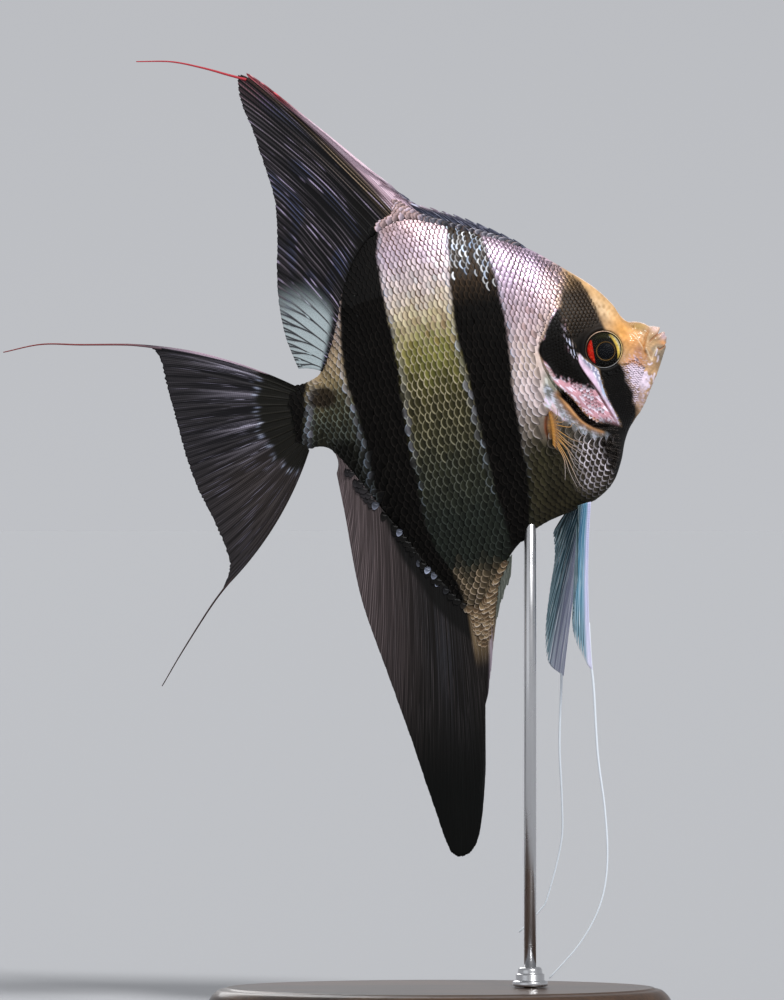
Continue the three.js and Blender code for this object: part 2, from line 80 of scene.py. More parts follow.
# The sky at the horizon has the shade of the floor there, and is a little darker overhead.
world = bpy.data.worlds.new("soft_sky")
world.use_nodes = True
sky = world.node_tree
sky_place, sky_split = sky.nodes.new("ShaderNodeTexCoord"), sky.nodes.new("ShaderNodeSeparateXYZ")
sky_fade = sky.nodes.new("ShaderNodeMapRange")
for key, value in {"From Min": 0.0, "From Max": 0.5, "To Min": 0.56, "To Max": 0.40}.items():
    sky_fade.inputs[key].default_value = value
sky.links.new(sky_place.outputs["Generated"], sky_split.inputs[0])
sky.links.new(sky_split.outputs["Z"], sky_fade.inputs["Value"])
sky.links.new(sky_fade.outputs["Result"], sky.nodes["Background"].inputs["Strength"])
sky.nodes["Background"].inputs["Color"].default_value = (0.93, 0.95, 1.0, 1)
bpy.context.scene.world = world
bpy.context.scene.view_settings.view_transform = "Standard"


def lamp(name, source, strength, softness, colour=(1, 1, 1)):
    """A far soft lamp, which lights the floor evenly, shining from a source towards the model."""
    data = bpy.data.lights.new(name, "SUN")
    data.angle = math.radians(softness)
    data.energy = strength
    data.color = colour
    item = bpy.data.objects.new(name, data)
    item.rotation_euler = Vector(source).to_track_quat("Z", "Y").to_euler()
    bpy.context.collection.objects.link(item)


lamp("key", (0.38, -0.66, 0.80), 2.9, 11)
lamp("fill", (-0.75, -0.8, 0.25), 0.25, 50, (0.93, 0.96, 1))
lamp("back", (-0.3, 0.8, 0.6), 0.9, 30)

# ------------------------------------------------------------------------------------------------
# The flesh: head, trunk and tail stem under one skin, deep and thin from side to side. It is drawn
# in the fish's own frame, in millimetres: x along the body from the tail root to the lips, y to
# the fish's left and z towards the back. That frame is tipped nose up and set over the stand.
# ------------------------------------------------------------------------------------------------
NOSE_UP = math.radians(12)
TAIL_ROOT = (-36.4, 157.0)  # x and height over the floor
COAT_DEPTH = 0.26
BACK = [
    (-1.6, 8.4), (4.5, 9.2), (8.5, 11.5), (13.4, 20.8), (18.4, 32.2), (24, 40.3), (31, 45),
    (37.5, 46), (43, 44.2), (52, 39.8), (60, 35.6), (68, 30.3), (76, 23.2), (82, 17.2), (85.5, 12.2),
    (86.9, 8.9), (88.4, 7.0), (90.5, 6.5), (92.4, 5.7), (93.9, 4.5), (95.3, 4.2), (96.2, 3.4),
    (97.0, 2.3), (97.6, 0.8),
]
BELLY = [
    (-1.6, -8.6), (4, -8.7), (7, -10.8), (10, -16.4), (14, -24), (19.4, -34.5), (25, -46), (30, -54.6),
    (34, -58.8), (37.5, -57.2), (41, -52.6), (45, -47.6), (49, -44), (53, -41.6), (58, -39.8),
    (66, -38.2), (72, -36.4), (76.5, -33), (79.5, -28), (81.3, -23.6), (83.4, -20.2), (88, -15.5),
    (91.4, -10.6), (93.7, -7.2), (95, -5), (96.1, -3.1), (96.9, -1.6), (97.6, 0.7),
]
HALF_GIRTH = [
    (-1.6, 1.6), (8, 3.1), (18, 4.8), (30, 6.6), (45, 8.4), (58, 9.2), (70, 9.3), (78, 8.5), (84, 7),
    (88, 5.5), (92, 4.1), (95, 3), (96.6, 2.2), (97.6, 0.6),
]
WIDEST = [(-1.6, 0), (20, 1.5), (45, 1), (65, -2), (78, -3), (86, -1.5), (92, 0), (97.6, 0.75)]
ROUND_ABOVE = [(-1.6, 0.5), (10, 0.2), (40, 0.16), (65, 0.3), (80, 0.62), (88, 0.9), (97.6, 1)]
ROUND_BELOW = [(-1.6, 0.5), (10, 0.16), (36, 0.1), (50, 0.3), (66, 0.5), (82, 0.55), (90, 0.85), (97.6, 1)]
EYE = {"x": 80.69, "z": 0.93, "radius": 4.75}


def through(knots):
    """A smooth curve through knots: a function that gives the height for each x."""
    xs, zs = np.array(knots, float).T
    before, after = np.maximum(np.arange(len(xs)) - 1, 0), np.minimum(np.arange(len(xs)) + 1, len(xs) - 1)
    slope = (zs[after] - zs[before]) / (xs[after] - xs[before])

    def height(x):
        x = np.asarray(x, float)
        i = np.clip(np.searchsorted(xs, x, side="right") - 1, 0, len(xs) - 2)
        span = xs[i + 1] - xs[i]
        t = np.clip((x - xs[i]) / span, 0, 1)
        return (
            (2 * t**3 - 3 * t**2 + 1) * zs[i] + (t**3 - 2 * t**2 + t) * span * slope[i]
            + (3 * t**2 - 2 * t**3) * zs[i + 1] + (t**3 - t**2) * span * slope[i + 1]
        )
    return height


back, belly, girth, widest = through(BACK), through(BELLY), through(HALF_GIRTH), through(WIDEST)
round_above, round_below = through(ROUND_ABOVE), through(ROUND_BELOW)


def smooth(low, high, value):
    """0 below low, 1 above high, and a smooth step between them."""
    t = np.clip((np.asarray(value, float) - low) / (high - low), 0, 1)
    return t * t * (3 - 2 * t)


def to_room(points):
    """Points of the fish's frame, in millimetres, as metres in the frame of the stand."""
    x, y, z = np.asarray(points, float).T
    c, s = math.cos(NOSE_UP), math.sin(NOSE_UP)
    return np.column_stack([TAIL_ROOT[0] + x * c - z * s, y, TAIL_ROOT[1] + x * s + z * c]) * MM


def flesh(x, angle, inset=0.0):
    """A point of the flesh at station x and at an angle round it from the fish's left side."""
    c, s = np.cos(angle), np.sin(angle)
    middle = widest(x)
    reach = np.where(s >= 0, back(x) - inset - middle, middle - belly(x) - inset)
    fullness = np.where(s >= 0, round_above(x), round_below(x))
    half = (girth(x) - inset) * c * (fullness + (1 - fullness) * np.abs(c))
    return np.stack([x + 0 * half, half, middle + np.maximum(reach, 0.02) * s], axis=-1)


def coat_inset(x):
    """How deep the skin lies inside the flesh's outline: less on the face, where the scales are small."""
    return COAT_DEPTH * (1 - 0.8 * smooth(72, 82, x))


def from_path(path, x, z, reach=12.0):
    """The distance of points to a smooth path in the side view, the side of it that they are on
    (positive to the left of its direction) and how far along it they are, from 0 to 1. Points
    further away than the reach are left at a great distance, on no side."""
    knots = np.array(path, float)
    ts = np.arange(len(knots))
    fine = np.linspace(0, len(knots) - 1, 6 * (len(knots) - 1) + 1)
    line = np.column_stack([through(np.column_stack([ts, knots[:, k]]))(fine) for k in (0, 1)])
    low, high = line.min(0) - reach, line.max(0) + reach
    near = (x > low[0]) & (x < high[0]) & (z > low[1]) & (z < high[1])
    px, pz = x[near], z[near]
    best = np.full(px.shape, 1e9)
    side, along = np.zeros(px.shape), np.zeros(px.shape)
    for i, (a, b) in enumerate(zip(line[:-1], line[1:])):
        step = b - a
        t = np.clip(((px - a[0]) * step[0] + (pz - a[1]) * step[1]) / (step @ step), 0, 1)
        dx, dz = px - (a[0] + t * step[0]), pz - (a[1] + t * step[1])
        distance = np.hypot(dx, dz)
        nearer = distance < best
        best = np.where(nearer, distance, best)
        side = np.where(nearer, np.sign(step[0] * dz - step[1] * dx), side)
        along = np.where(nearer, (i + t) / (len(line) - 1), along)
    found = [np.full(np.shape(x), 1e3), np.zeros(np.shape(x)), np.zeros(np.shape(x))]
    for whole, part in zip(found, (best, side, along)):
        whole[near] = part
    return found


def stroke(path, x, z, width, fade=0.15):
    """A soft line along a path: 1 on it, fading over its width and at both of its ends."""
    d, _, along = from_path(path, x, z, 4 * width)
    return np.exp(-((d / width) ** 2)) * smooth(0, fade, along) * (1 - smooth(1 - fade, 1, along))


def noise(x, z, size, seed):
    """A soft noise over the side view, from about -1 to 1: a few turned waves of mixed length."""
    dice = np.random.default_rng(seed)
    total = np.zeros(np.shape(x))
    for _ in range(9):
        turn, phase, stretch = (dice.uniform(*span) for span in ((0, 2 * np.pi), (0, 2 * np.pi), (0.6, 1.7)))
        total += np.sin((x * math.cos(turn) + z * math.sin(turn)) * 2 * np.pi / (size * stretch) + phase)
    return total / 4.5


# The lines of the head, from the side: the mouth, the jaw's folds, the edge of the cheek, the
# edge of the gill cover, the rim behind the gill opening and the root of the pectoral fin.
MOUTH = [(97.5, 3.7), (96.7, 2.9), (96.0, 2.3), (95.2, 1.9), (94.4, 1.5), (93.4, 0.9), (92.4, 0.0)]
JAW_FOLD = [(93.9, 4.1), (93.0, 3.1), (92.2, 2.0), (91.5, 0.3), (91.0, -1.1), (91.2, -2.7), (90.6, -4.2)]
UPPER_JAW_BONE = [(91.2, -0.2), (91.7, -2.2), (92.3, -4.4), (92.9, -3.3), (93.9, -2.0), (94.5, -0.9)]
LIP_FOLD = [(97.6, -0.7), (96.8, -1.3), (95.9, -1.8), (95.0, -1.9), (94.6, -1.1)]
SNOUT_FOLD = [(88.2, 3.4), (88.9, 3.1), (90.0, 1.4), (91.1, -1.7)]
CHEEK_EDGE = [
    (72.3, 10.2), (72.3, 6.4), (73.0, 2.6), (73.8, -1.1), (74.3, -3.1), (75.3, -5.5), (76.7, -8.4),
    (78.0, -12.0), (79.0, -14.8), (80.6, -19.4),
]
GILL_EDGE = [
    (69.2, 12.4), (66.6, 8.4), (64.9, 4.6), (64.7, 0.8), (65.6, -2.6), (66.6, -5.2), (68.5, -7.6),
    (70.3, -10.2), (71.6, -12.7), (72.8, -14.8), (74.4, -16.4), (76.5, -17.8), (78.7, -18.7),
]
GILL_RIM = [
    (65.6, -6.6), (67.2, -9.1), (68.4, -12.0), (70.2, -14.9), (72.2, -17.2), (75.0, -19.2), (77.2, -20.2),
]
PECTORAL_ROOT = [(63.6, -11.6), (62.4, -13.4), (61.8, -15.6), (61.8, -17.6), (62.7, -20.4)]
NOSTRIL = (89.4, 5.2)
PORES = [
    (88.3, 3.2), (86.6, -3.6), (91.9, -7.2), (90.3, -9.6), (88.2, -12.2), (86.2, 7.0), (83.6, 8.0),
    (80.2, 8.6),
]


def face_relief(x, z):
    """How far the skin of the head stands out (or in, negative) at points of its side view."""
    relief = np.zeros(np.shape(x))
    r = np.hypot(x - EYE["x"], z - EYE["z"])
    relief += 0.45 * np.exp(-(((r - 5.5) / 0.9) ** 2))
    relief -= 3.4 * (1 - smooth(EYE["radius"] - 0.3, EYE["radius"] + 0.16, r))
    d, _, along = from_path(MOUTH, x, z, 4)
    opening = 1 - smooth(0.2, 0.6, along)
    deep = 0.3 + 1.1 * opening
    relief -= deep * np.exp(-((d / (0.17 + 0.2 * opening)) ** 2)) * (1 - smooth(0.85, 1, along))
    relief += 0.34 * np.exp(-(((d - 0.85) / 0.45) ** 2)) * (1 - smooth(0.5, 0.9, along))
    d, side, along = from_path(JAW_FOLD, x, z, 4)
    ends = np.sin(np.pi * np.clip(along, 0.04, 0.97)) ** 0.5
    relief -= 0.34 * ends * np.exp(-((d / 0.2) ** 2))
    relief += 0.22 * ends * np.exp(-(((d * side - 0.7) / 0.5) ** 2))
    relief += 0.24 * stroke(UPPER_JAW_BONE, x, z, 0.28) + 0.12 * stroke(SNOUT_FOLD, x, z, 0.25)
    relief -= 0.3 * stroke(LIP_FOLD, x, z, 0.2)
    d, side, along = from_path(CHEEK_EDGE, x, z, 6)
    fade = smooth(0.3, 0.5, along) * (1 - smooth(0.92, 1, along))
    across = d * side
    relief += 0.34 * fade * np.where(across > 0, np.exp(-((d / 1.5) ** 2)), np.exp(-((d / 0.14) ** 2)))
    relief -= 0.22 * fade * np.exp(-(((across + 0.4) / 0.26) ** 2))
    d, side, along = from_path(GILL_EDGE, x, z, 8)
    fade = smooth(0, 0.14, along) * (1 - smooth(0.95, 1, along))
    across = d * side
    relief += 0.42 * fade * np.where(across > 0, np.exp(-((d / 2.4) ** 2)), np.exp(-((d / 0.12) ** 2)))
    slit = smooth(0.4, 0.56, along) * fade
    deep = (0.3 + 1.35 * slit) * fade
    relief -= deep * np.exp(-(((across + 0.4 + 0.55 * slit) / (0.22 + 0.5 * slit)) ** 2))
    relief += 0.4 * stroke(GILL_RIM, x, z, 0.55)
    d, side, along = from_path(PECTORAL_ROOT, x, z, 5)
    fade = np.sin(np.pi * np.clip(along, 0.03, 0.97)) ** 0.5
    relief -= 0.5 * fade * np.exp(-((d / 0.3) ** 2))
    ribs = 1 + 0.16 * np.cos(along * 2 * np.pi * 9)
    relief += 0.6 * fade * ribs * np.exp(-(((d * side - 1.3) / 0.9) ** 2))
    r = np.hypot(x - NOSTRIL[0], z - NOSTRIL[1])
    relief += 0.16 * np.exp(-(((r - 0.5) / 0.2) ** 2)) - 0.5 * np.exp(-((r / 0.26) ** 2))
    for px, pz in PORES:
        relief -= 0.12 * np.exp(-((np.hypot(x - px, z - pz) / 0.2) ** 2))
    wrinkles = 0.05 * noise(x, z, 1.5, 61) + 0.035 * noise(x + z, z, 0.8, 62)
    return relief + wrinkles * smooth(83, 86, x) * (1 + spot(x, z, (88, -7), (4, 6)))


# The markings, from the side. Each bar is given by its two edges: x for each height.
REAR_BAR = (
    through([(-67, 32.6), (-60, 27.1), (-53.9, 23.6), (-48, 21.5), (-41, 18.4), (-30.5, 16.2), (-24.4, 15.4),
             (-12.6, 15.2), (-4.4, 14.8), (0.9, 14.4), (9.8, 13.7), (20.2, 14.9), (32.1, 18), (39.7, 22.3),
             (46, 27)]),
    through([(-78, 31.2), (-67, 32.8), (-62, 32.9), (-52.5, 31.7), (-45.4, 29.8), (-41, 27.7), (-32.7, 26.3),
             (-22.1, 26.4), (-11.4, 26.3), (4.3, 27.5), (14.8, 27.9), (25.4, 28), (35.5, 28.3), (46, 30.6)]),
)
MIDDLE_BAR = (
    through([(-48, 46.2), (-39.7, 46.6), (-28.9, 45.7), (-18.1, 45.3), (-7.4, 44.9), (3.3, 44.6),
             (14, 44.2), (24.4, 45.1), (37.3, 47), (44, 47.6)]),
    through([(-48, 50.4), (-41.5, 52), (-28.1, 54.6), (-14.9, 55.3), (-1.8, 56), (11.2, 57.4),
             (21.8, 57.3), (35.4, 55.9), (44, 54)]),
)
EYE_BAR = (
    through([(-24, 80.4), (-19, 80.8), (-15, 79.7), (-10.1, 78.5), (-6.7, 78.3), (-3.9, 78), (-2.3, 76.7),
             (0.2, 74.6), (2, 72.6), (9.5, 71.6), (15, 72.4), (18.5, 73.4), (22.5, 75)]),
    through([(-24, 82.2), (-21, 84), (-18.3, 85.2), (-16.4, 86), (-14.3, 85.6), (-11.3, 86.1), (-9, 85.4),
             (-5.7, 85), (-2, 83), (2, 83), (7.4, 81.8), (10.4, 81.1), (14.2, 80.4), (18.6, 78.9),
             (22.5, 76)]),
)
GILL_PATCH = (
    through([(-9, 68.4), (-4.3, 66.8), (-2.4, 66.4), (0.1, 65.4), (1.8, 64.4), (4.7, 64.2), (7.1, 66),
             (9.3, 67.2), (11.8, 69.2), (14.2, 72), (17, 73)]),
    through([(-9, 76.6), (-5.5, 75.2), (-3.1, 74.3), (-1.1, 73.8), (2.6, 74.5), (14, 74.5)]),
)
STRIPE = (
    through([(-19.4, 80.6), (-14.8, 79), (-12, 78), (-8.4, 76.7), (-5.5, 75.3), (-3.1, 74.3), (-1.1, 73.7),
             (1.6, 74)]),
    through([(-19.4, 80.9), (-14.6, 79.8), (-12.5, 79.2), (-10.1, 78.6), (-6.7, 78.4), (-3.9, 78),
             (-2.3, 76.8), (-0.6, 75.3), (1.6, 74.2)]),
)
# The white streaks behind the eye are partly painted highlights of the wet skin.
GLINTS = [(72.9, 11.6), (72.2, 8), (72.2, 5), (72.8, 1.8), (74.0, -1.4)]  # white streaks behind the eye
HEAD_LINE = through([(-40, 82), (-22, 80), (-18.4, 77), (-16.2, 74.4), (-11.6, 68.6), (-5.2, 65.8),
                     (0.8, 64.4), (4.6, 64.4), (8.4, 66.4), (12.4, 70), (20, 74), (40, 76)])

# The colours down the flank, as height and colour: in front of the middle bar, between the bars and
# behind the rear bar; first the scales' own, then that of their free edges. Their darkening towards
# the belly is partly painted shade, and the pale free edges are partly painted highlights.
FRONT = [
    (40, (0.42, 0.31, 0.37)), (26, (0.48, 0.37, 0.50)), (13, (0.72, 0.56, 0.62)), (2, (0.76, 0.60, 0.52)),
    (-6, (0.84, 0.68, 0.68)), (-13, (0.26, 0.21, 0.17)), (-22, (0.036, 0.031, 0.015)),
    (-34, (0.030, 0.025, 0.012)),
]
FRONT_EDGE = [
    (40, (0.10, 0.05, 0.035)), (22, (0.12, 0.06, 0.04)), (14, (0.30, 0.20, 0.20)), (8, (0.80, 0.66, 0.70)),
    (-6, (1.0, 0.90, 0.95)), (-14, (0.66, 0.57, 0.54)), (-23, (0.11, 0.095, 0.062)),
    (-34, (0.024, 0.020, 0.012)),
]
MIDDLE = [
    (52, (0.50, 0.35, 0.31)), (44, (0.60, 0.43, 0.46)), (36, (0.78, 0.62, 0.74)), (28, (0.96, 0.80, 0.78)),
    (20, (0.68, 0.58, 0.38)), (12, (0.25, 0.215, 0.064)), (4, (0.068, 0.060, 0.016)),
    (-4, (0.036, 0.032, 0.012)),
    (-20, (0.018, 0.019, 0.010)), (-34, (0.011, 0.014, 0.010)), (-46, (0.011, 0.014, 0.010)),
    (-51, (0.085, 0.063, 0.036)), (-64, (0.11, 0.080, 0.048)),
]
MIDDLE_EDGE = [
    (52, (0.80, 0.62, 0.60)), (44, (0.24, 0.13, 0.10)), (28, (0.13, 0.07, 0.045)), (19, (0.44, 0.33, 0.22)),
    (12, (0.66, 0.57, 0.38)), (0, (0.54, 0.47, 0.30)), (-8, (0.38, 0.34, 0.21)), (-20, (0.14, 0.145, 0.11)),
    (-34, (0.042, 0.050, 0.042)), (-46, (0.034, 0.040, 0.034)), (-51, (0.42, 0.32, 0.22)),
    (-64, (0.62, 0.52, 0.44)),
]
REAR = [
    (26, (0.46, 0.33, 0.28)), (12, (0.36, 0.26, 0.15)), (7, (0.24, 0.18, 0.09)), (2, (0.034, 0.030, 0.014)),
    (-4, (0.022, 0.021, 0.012)), (-10, (0.014, 0.015, 0.010)), (-60, (0.012, 0.013, 0.010)),
]
REAR_EDGE = [
    (26, (0.72, 0.60, 0.58)), (12, (0.66, 0.54, 0.40)), (2, (0.20, 0.21, 0.155)), (-4, (0.13, 0.15, 0.125)),
    (-12, (0.075, 0.082, 0.074)), (-24, (0.070, 0.082, 0.084)), (-60, (0.07, 0.082, 0.088)),
]
BAR, BAR_BROWN, SLIT = (0.0035, 0.003, 0.0026), (0.040, 0.026, 0.016), (0.006, 0.0025, 0.0015)
ICE, FROST, LILAC = (0.56, 0.70, 0.95), (0.92, 0.88, 0.98), (0.86, 0.72, 0.90)
MOSS, RUST, ORANGE = (0.20, 0.22, 0.045), (0.30, 0.11, 0.065), (0.66, 0.30, 0.07)


def between(edges, x, z, soft):
    return smooth(-soft, soft, x - edges[0](z)) * smooth(-soft, soft, edges[1](z) - x)


def beside(edges, x, z, width):
    """A band just outside the two edges of a bar."""
    outside = np.maximum(edges[0](z) - x, x - edges[1](z))
    return smooth(-0.3, 0.4, outside) * (1 - smooth(0.4, width, outside))


def spot(x, z, middle, reach, turn=0.0):
    """A soft round or oval spot: 1 in its middle, with its reach along and across its own turned axes."""
    c, s = math.cos(math.radians(turn)), math.sin(math.radians(turn))
    dx, dz = x - middle[0], z - middle[1]
    return np.exp(-(((dx * c + dz * s) / reach[0]) ** 2) - ((dz * c - dx * s) / reach[1]) ** 2)


def mix(colour, other, share):
    return colour + (np.asarray(other) - colour) * np.clip(share, 0, 1)[..., None]


def graded(low, high, share):
    """Colours from low to high, by the share at each place."""
    return mix(np.broadcast_to(low, np.shape(share) + (3,)).astype(float), high, share)


def layered(ground, *layers):
    """Colours with others laid over them in turn, each with its share at each place."""
    for colour, share in layers:
        ground = mix(ground, colour, share)
    return ground


def down(stops, z):
    """The colour at each height, from stops of height and colour listed from the top."""
    heights = [height for height, _ in stops][::-1]
    return np.stack([np.interp(z, heights, [colour[k] for _, colour in stops][::-1]) for k in range(3)], -1)


def flank_coat(x, z):
    """The flank's colours without its bars, and how much it shimmers."""
    wobble, grime = noise(x, z, 5.0, 3), noise(x, z, 2.6, 8)
    level = z + 2.2 * wobble
    ahead, behind = smooth(50, 58, x), 1 - smooth(15, 22, x)
    pair = []
    for middle, front, rear in ((MIDDLE, FRONT, REAR), (MIDDLE_EDGE, FRONT_EDGE, REAR_EDGE)):
        sides = (down(front, level - 0.12 * (x - 62)), ahead), (down(rear, level), behind)
        pair.append(layered(down(middle, level), *sides))
    ground, bright = pair
    ground = mix(ground, MOSS, 0.6 * spot(x, level, (37, 11), (6.5, 7)))
    rusty = smooth(0.0, 0.7, grime) * (spot(x, z, (40, 17), (9, 7)) + spot(x, z, (63, 12), (6, 9)))
    ground, bright = mix(ground, RUST, 0.4 * rusty), mix(bright, (0.55, 0.30, 0.22), 0.4 * rusty)
    chalk = smooth(0.2, 0.9, noise(x, z, 3.2, 15)) * spot(x, z, (38, 27), (10, 6))
    ground = mix(ground, (0.74, 0.78, 0.80), 0.6 * chalk)
    nape = smooth(-8, 0, x - HEAD_LINE(z)) * smooth(7, 12, z) * (0.6 + 0.4 * grime)
    ground, bright = mix(ground, (0.60, 0.40, 0.29), 0.75 * nape), mix(bright, (0.12, 0.06, 0.035), nape)
    faint = (np.exp(-(((x - 60) / 1.8) ** 2)) + 0.8 * np.exp(-(((x - 67.2) / 1.5) ** 2))) * smooth(18, 24, z)
    bright = mix(bright, (0.80, 0.62, 0.78), 0.85 * faint)
    # The breast: dark scales whose white free edges are partly painted highlights.
    breast = smooth(66, 71, x) * smooth(-19, -23, z + 0.4 * wobble) * (1 - smooth(-30, -37, z))
    ground, bright = mix(ground, (0.046, 0.036, 0.026), breast), mix(bright, (1.0, 0.92, 1.0), breast)
    # Darker low on the front of the flank.
    low_front_dark = smooth(63, 58, x - 0.4 * (z + 28)) * smooth(-16, -24, z) * ahead
    ground, bright = mix(ground, (0.034, 0.030, 0.014), low_front_dark), mix(bright, (0.07, 0.058, 0.036), 0.8 * low_front_dark)
    shimmer = 0.75 * smooth(16, 28, level) + 0.5 * ahead * smooth(-16, -6, level) + 0.3 * chalk + 0.15
    return ground, bright, np.clip(shimmer, 0, 1)


HEAD_GROUND = (0.50, 0.31, 0.16)
# Painted highlights on the jaws: short pale lines.
JAW_HIGHLIGHTS = [
    [(94.5, -1.5), (94.0, -2.6), (93.5, -3.6)], [(91.0, -4.9), (91.8, -5.3), (92.6, -4.9)],
    [(94.4, -3.3), (94.1, -4.4), (93.6, -5.2)], [(92.6, -7.4), (92.0, -9.0), (91.6, -10.4)],
]


def head_coat(x, z):
    """The head's colours without the black: peach and ochre above, lilac and rose below."""
    wobble, grime = noise(x, z, 4.0, 21), noise(x, z, 1.7, 22)
    fleck = noise(x + 0.4 * z, z, 0.9, 23)
    from_back = np.maximum(back(x) - z, 0)
    patch_d = np.hypot((x - 88.2 + 0.3 * (z + 8)) / 3.1, (z + 8.2) / 4.1) + 0.3 * grime + 0.12 * fleck
    jaw = smooth(0.2, 1.0, x + 0.42 * z - 91.6) * (1 - smooth(-1.2, 0.2, z - 0.2 * (x - 95)))

    def at(*place):
        return spot(x, z, *place)

    def along(line, width):
        return stroke(line, x, z, width)
    ground = layered(
        np.broadcast_to(HEAD_GROUND, np.shape(x) + (3,)).astype(float),
        # the forehead, its pale edge over the eye, and dark grains towards the nape
        ((0.62, 0.38, 0.18), (1 - smooth(2, 8, from_back)) * (1 - smooth(86, 89, x))),
        ((0.84, 0.60, 0.36), 0.8 * at((82.6, 11.2), (1.5, 4.2), 32) * smooth(-0.5, 0.4, grime + 0.4)),
        ((0.34, 0.24, 0.13), 0.5 * (1 - smooth(74, 80, x)) * smooth(-0.3, 0.5, grime)),
        # orange and rose round the front of the eye
        ((0.74, 0.35, 0.09), 0.95 * at((86.6, 4.2), (2.6, 4.4), 15)),
        ((0.76, 0.36, 0.13), 0.9 * at((88.8, 1.6), (2.4, 3.4))),
        ((0.46, 0.30, 0.10), 0.8 * at((90.9, 4.9), (1.9, 1.0), -12)),
        ((0.56, 0.26, 0.15), 0.8 * at((89.6, -1.4), (1.3, 1.6))),
        ((0.80, 0.36, 0.22), 0.9 * at((87.8, -4.2), (2.6, 1.9))),
        (LILAC, 0.8 * at((88.2, -4.0), (3, 2)) * smooth(0.25, 0.6, fleck)),
        # the pale patch of the cheek and the darker flesh under it
        ((1.0, 0.84, 1.0), 0.97 * (1 - smooth(0.65, 1.0, patch_d))),
        ((0.56, 0.40, 0.40), 0.7 * at((87.2, -13.0), (1.9, 2.6))),
        (LILAC, 0.7 * at((87.6, -12.6), (2, 3)) * smooth(0.1, 0.5, fleck)),
        # the jaws, their folds and the lips, with pale painted highlights on the jaw bone, the snout fold and
        # the chin
        ((0.27, 0.22, 0.16), 0.8 * jaw),
        ((0.62, 0.40, 0.22), 0.7 * at((92.6, 0.6), (1.0, 2.4), -12)),
        ((0.52, 0.22, 0.06), 0.8 * along(JAW_FOLD, 0.3) + 0.6 * stroke(SNOUT_FOLD, x - 0.4, z + 0.2, 0.3)),
        ((0.92, 0.74, 0.52), 0.6 * along(UPPER_JAW_BONE, 0.22) + 0.5 * along(SNOUT_FOLD, 0.16)),
        ((0.84, 0.60, 0.54), 0.95 * at((95.0, 3.5), (1.1, 1.2), 20)),
        ((0.86, 0.62, 0.66), at((96.9, 1.2), (1.1, 1.0), 30)),
        ((0.74, 0.34, 0.14), 0.85 * at((96.4, -0.5), (1.1, 0.7), -20)),
        ((0.40, 0.14, 0.05), 0.8 * along(LIP_FOLD, 0.18) + 0.7 * along(MOUTH, 0.2)),
        *(((0.95, 0.84, 0.97), 0.85 * along(jaw_light, 0.22)) for jaw_light in JAW_HIGHLIGHTS),
        # a painted highlight along the back of the head
        ((0.90, 0.76, 0.72), 0.8 * (1 - smooth(0.05, 0.5, from_back)) * smooth(72, 78, x)),
    )
    return ground * (1 + 0.10 * wobble + 0.12 * grime)[..., None]


# Painted highlights on the wet flesh behind the gill opening.
WET_LIGHTS = [[(70.2, -19.6), (71.0, -20.2), (72.0, -20.5)], [(73.0, -21.0), (73.8, -21.6)]]


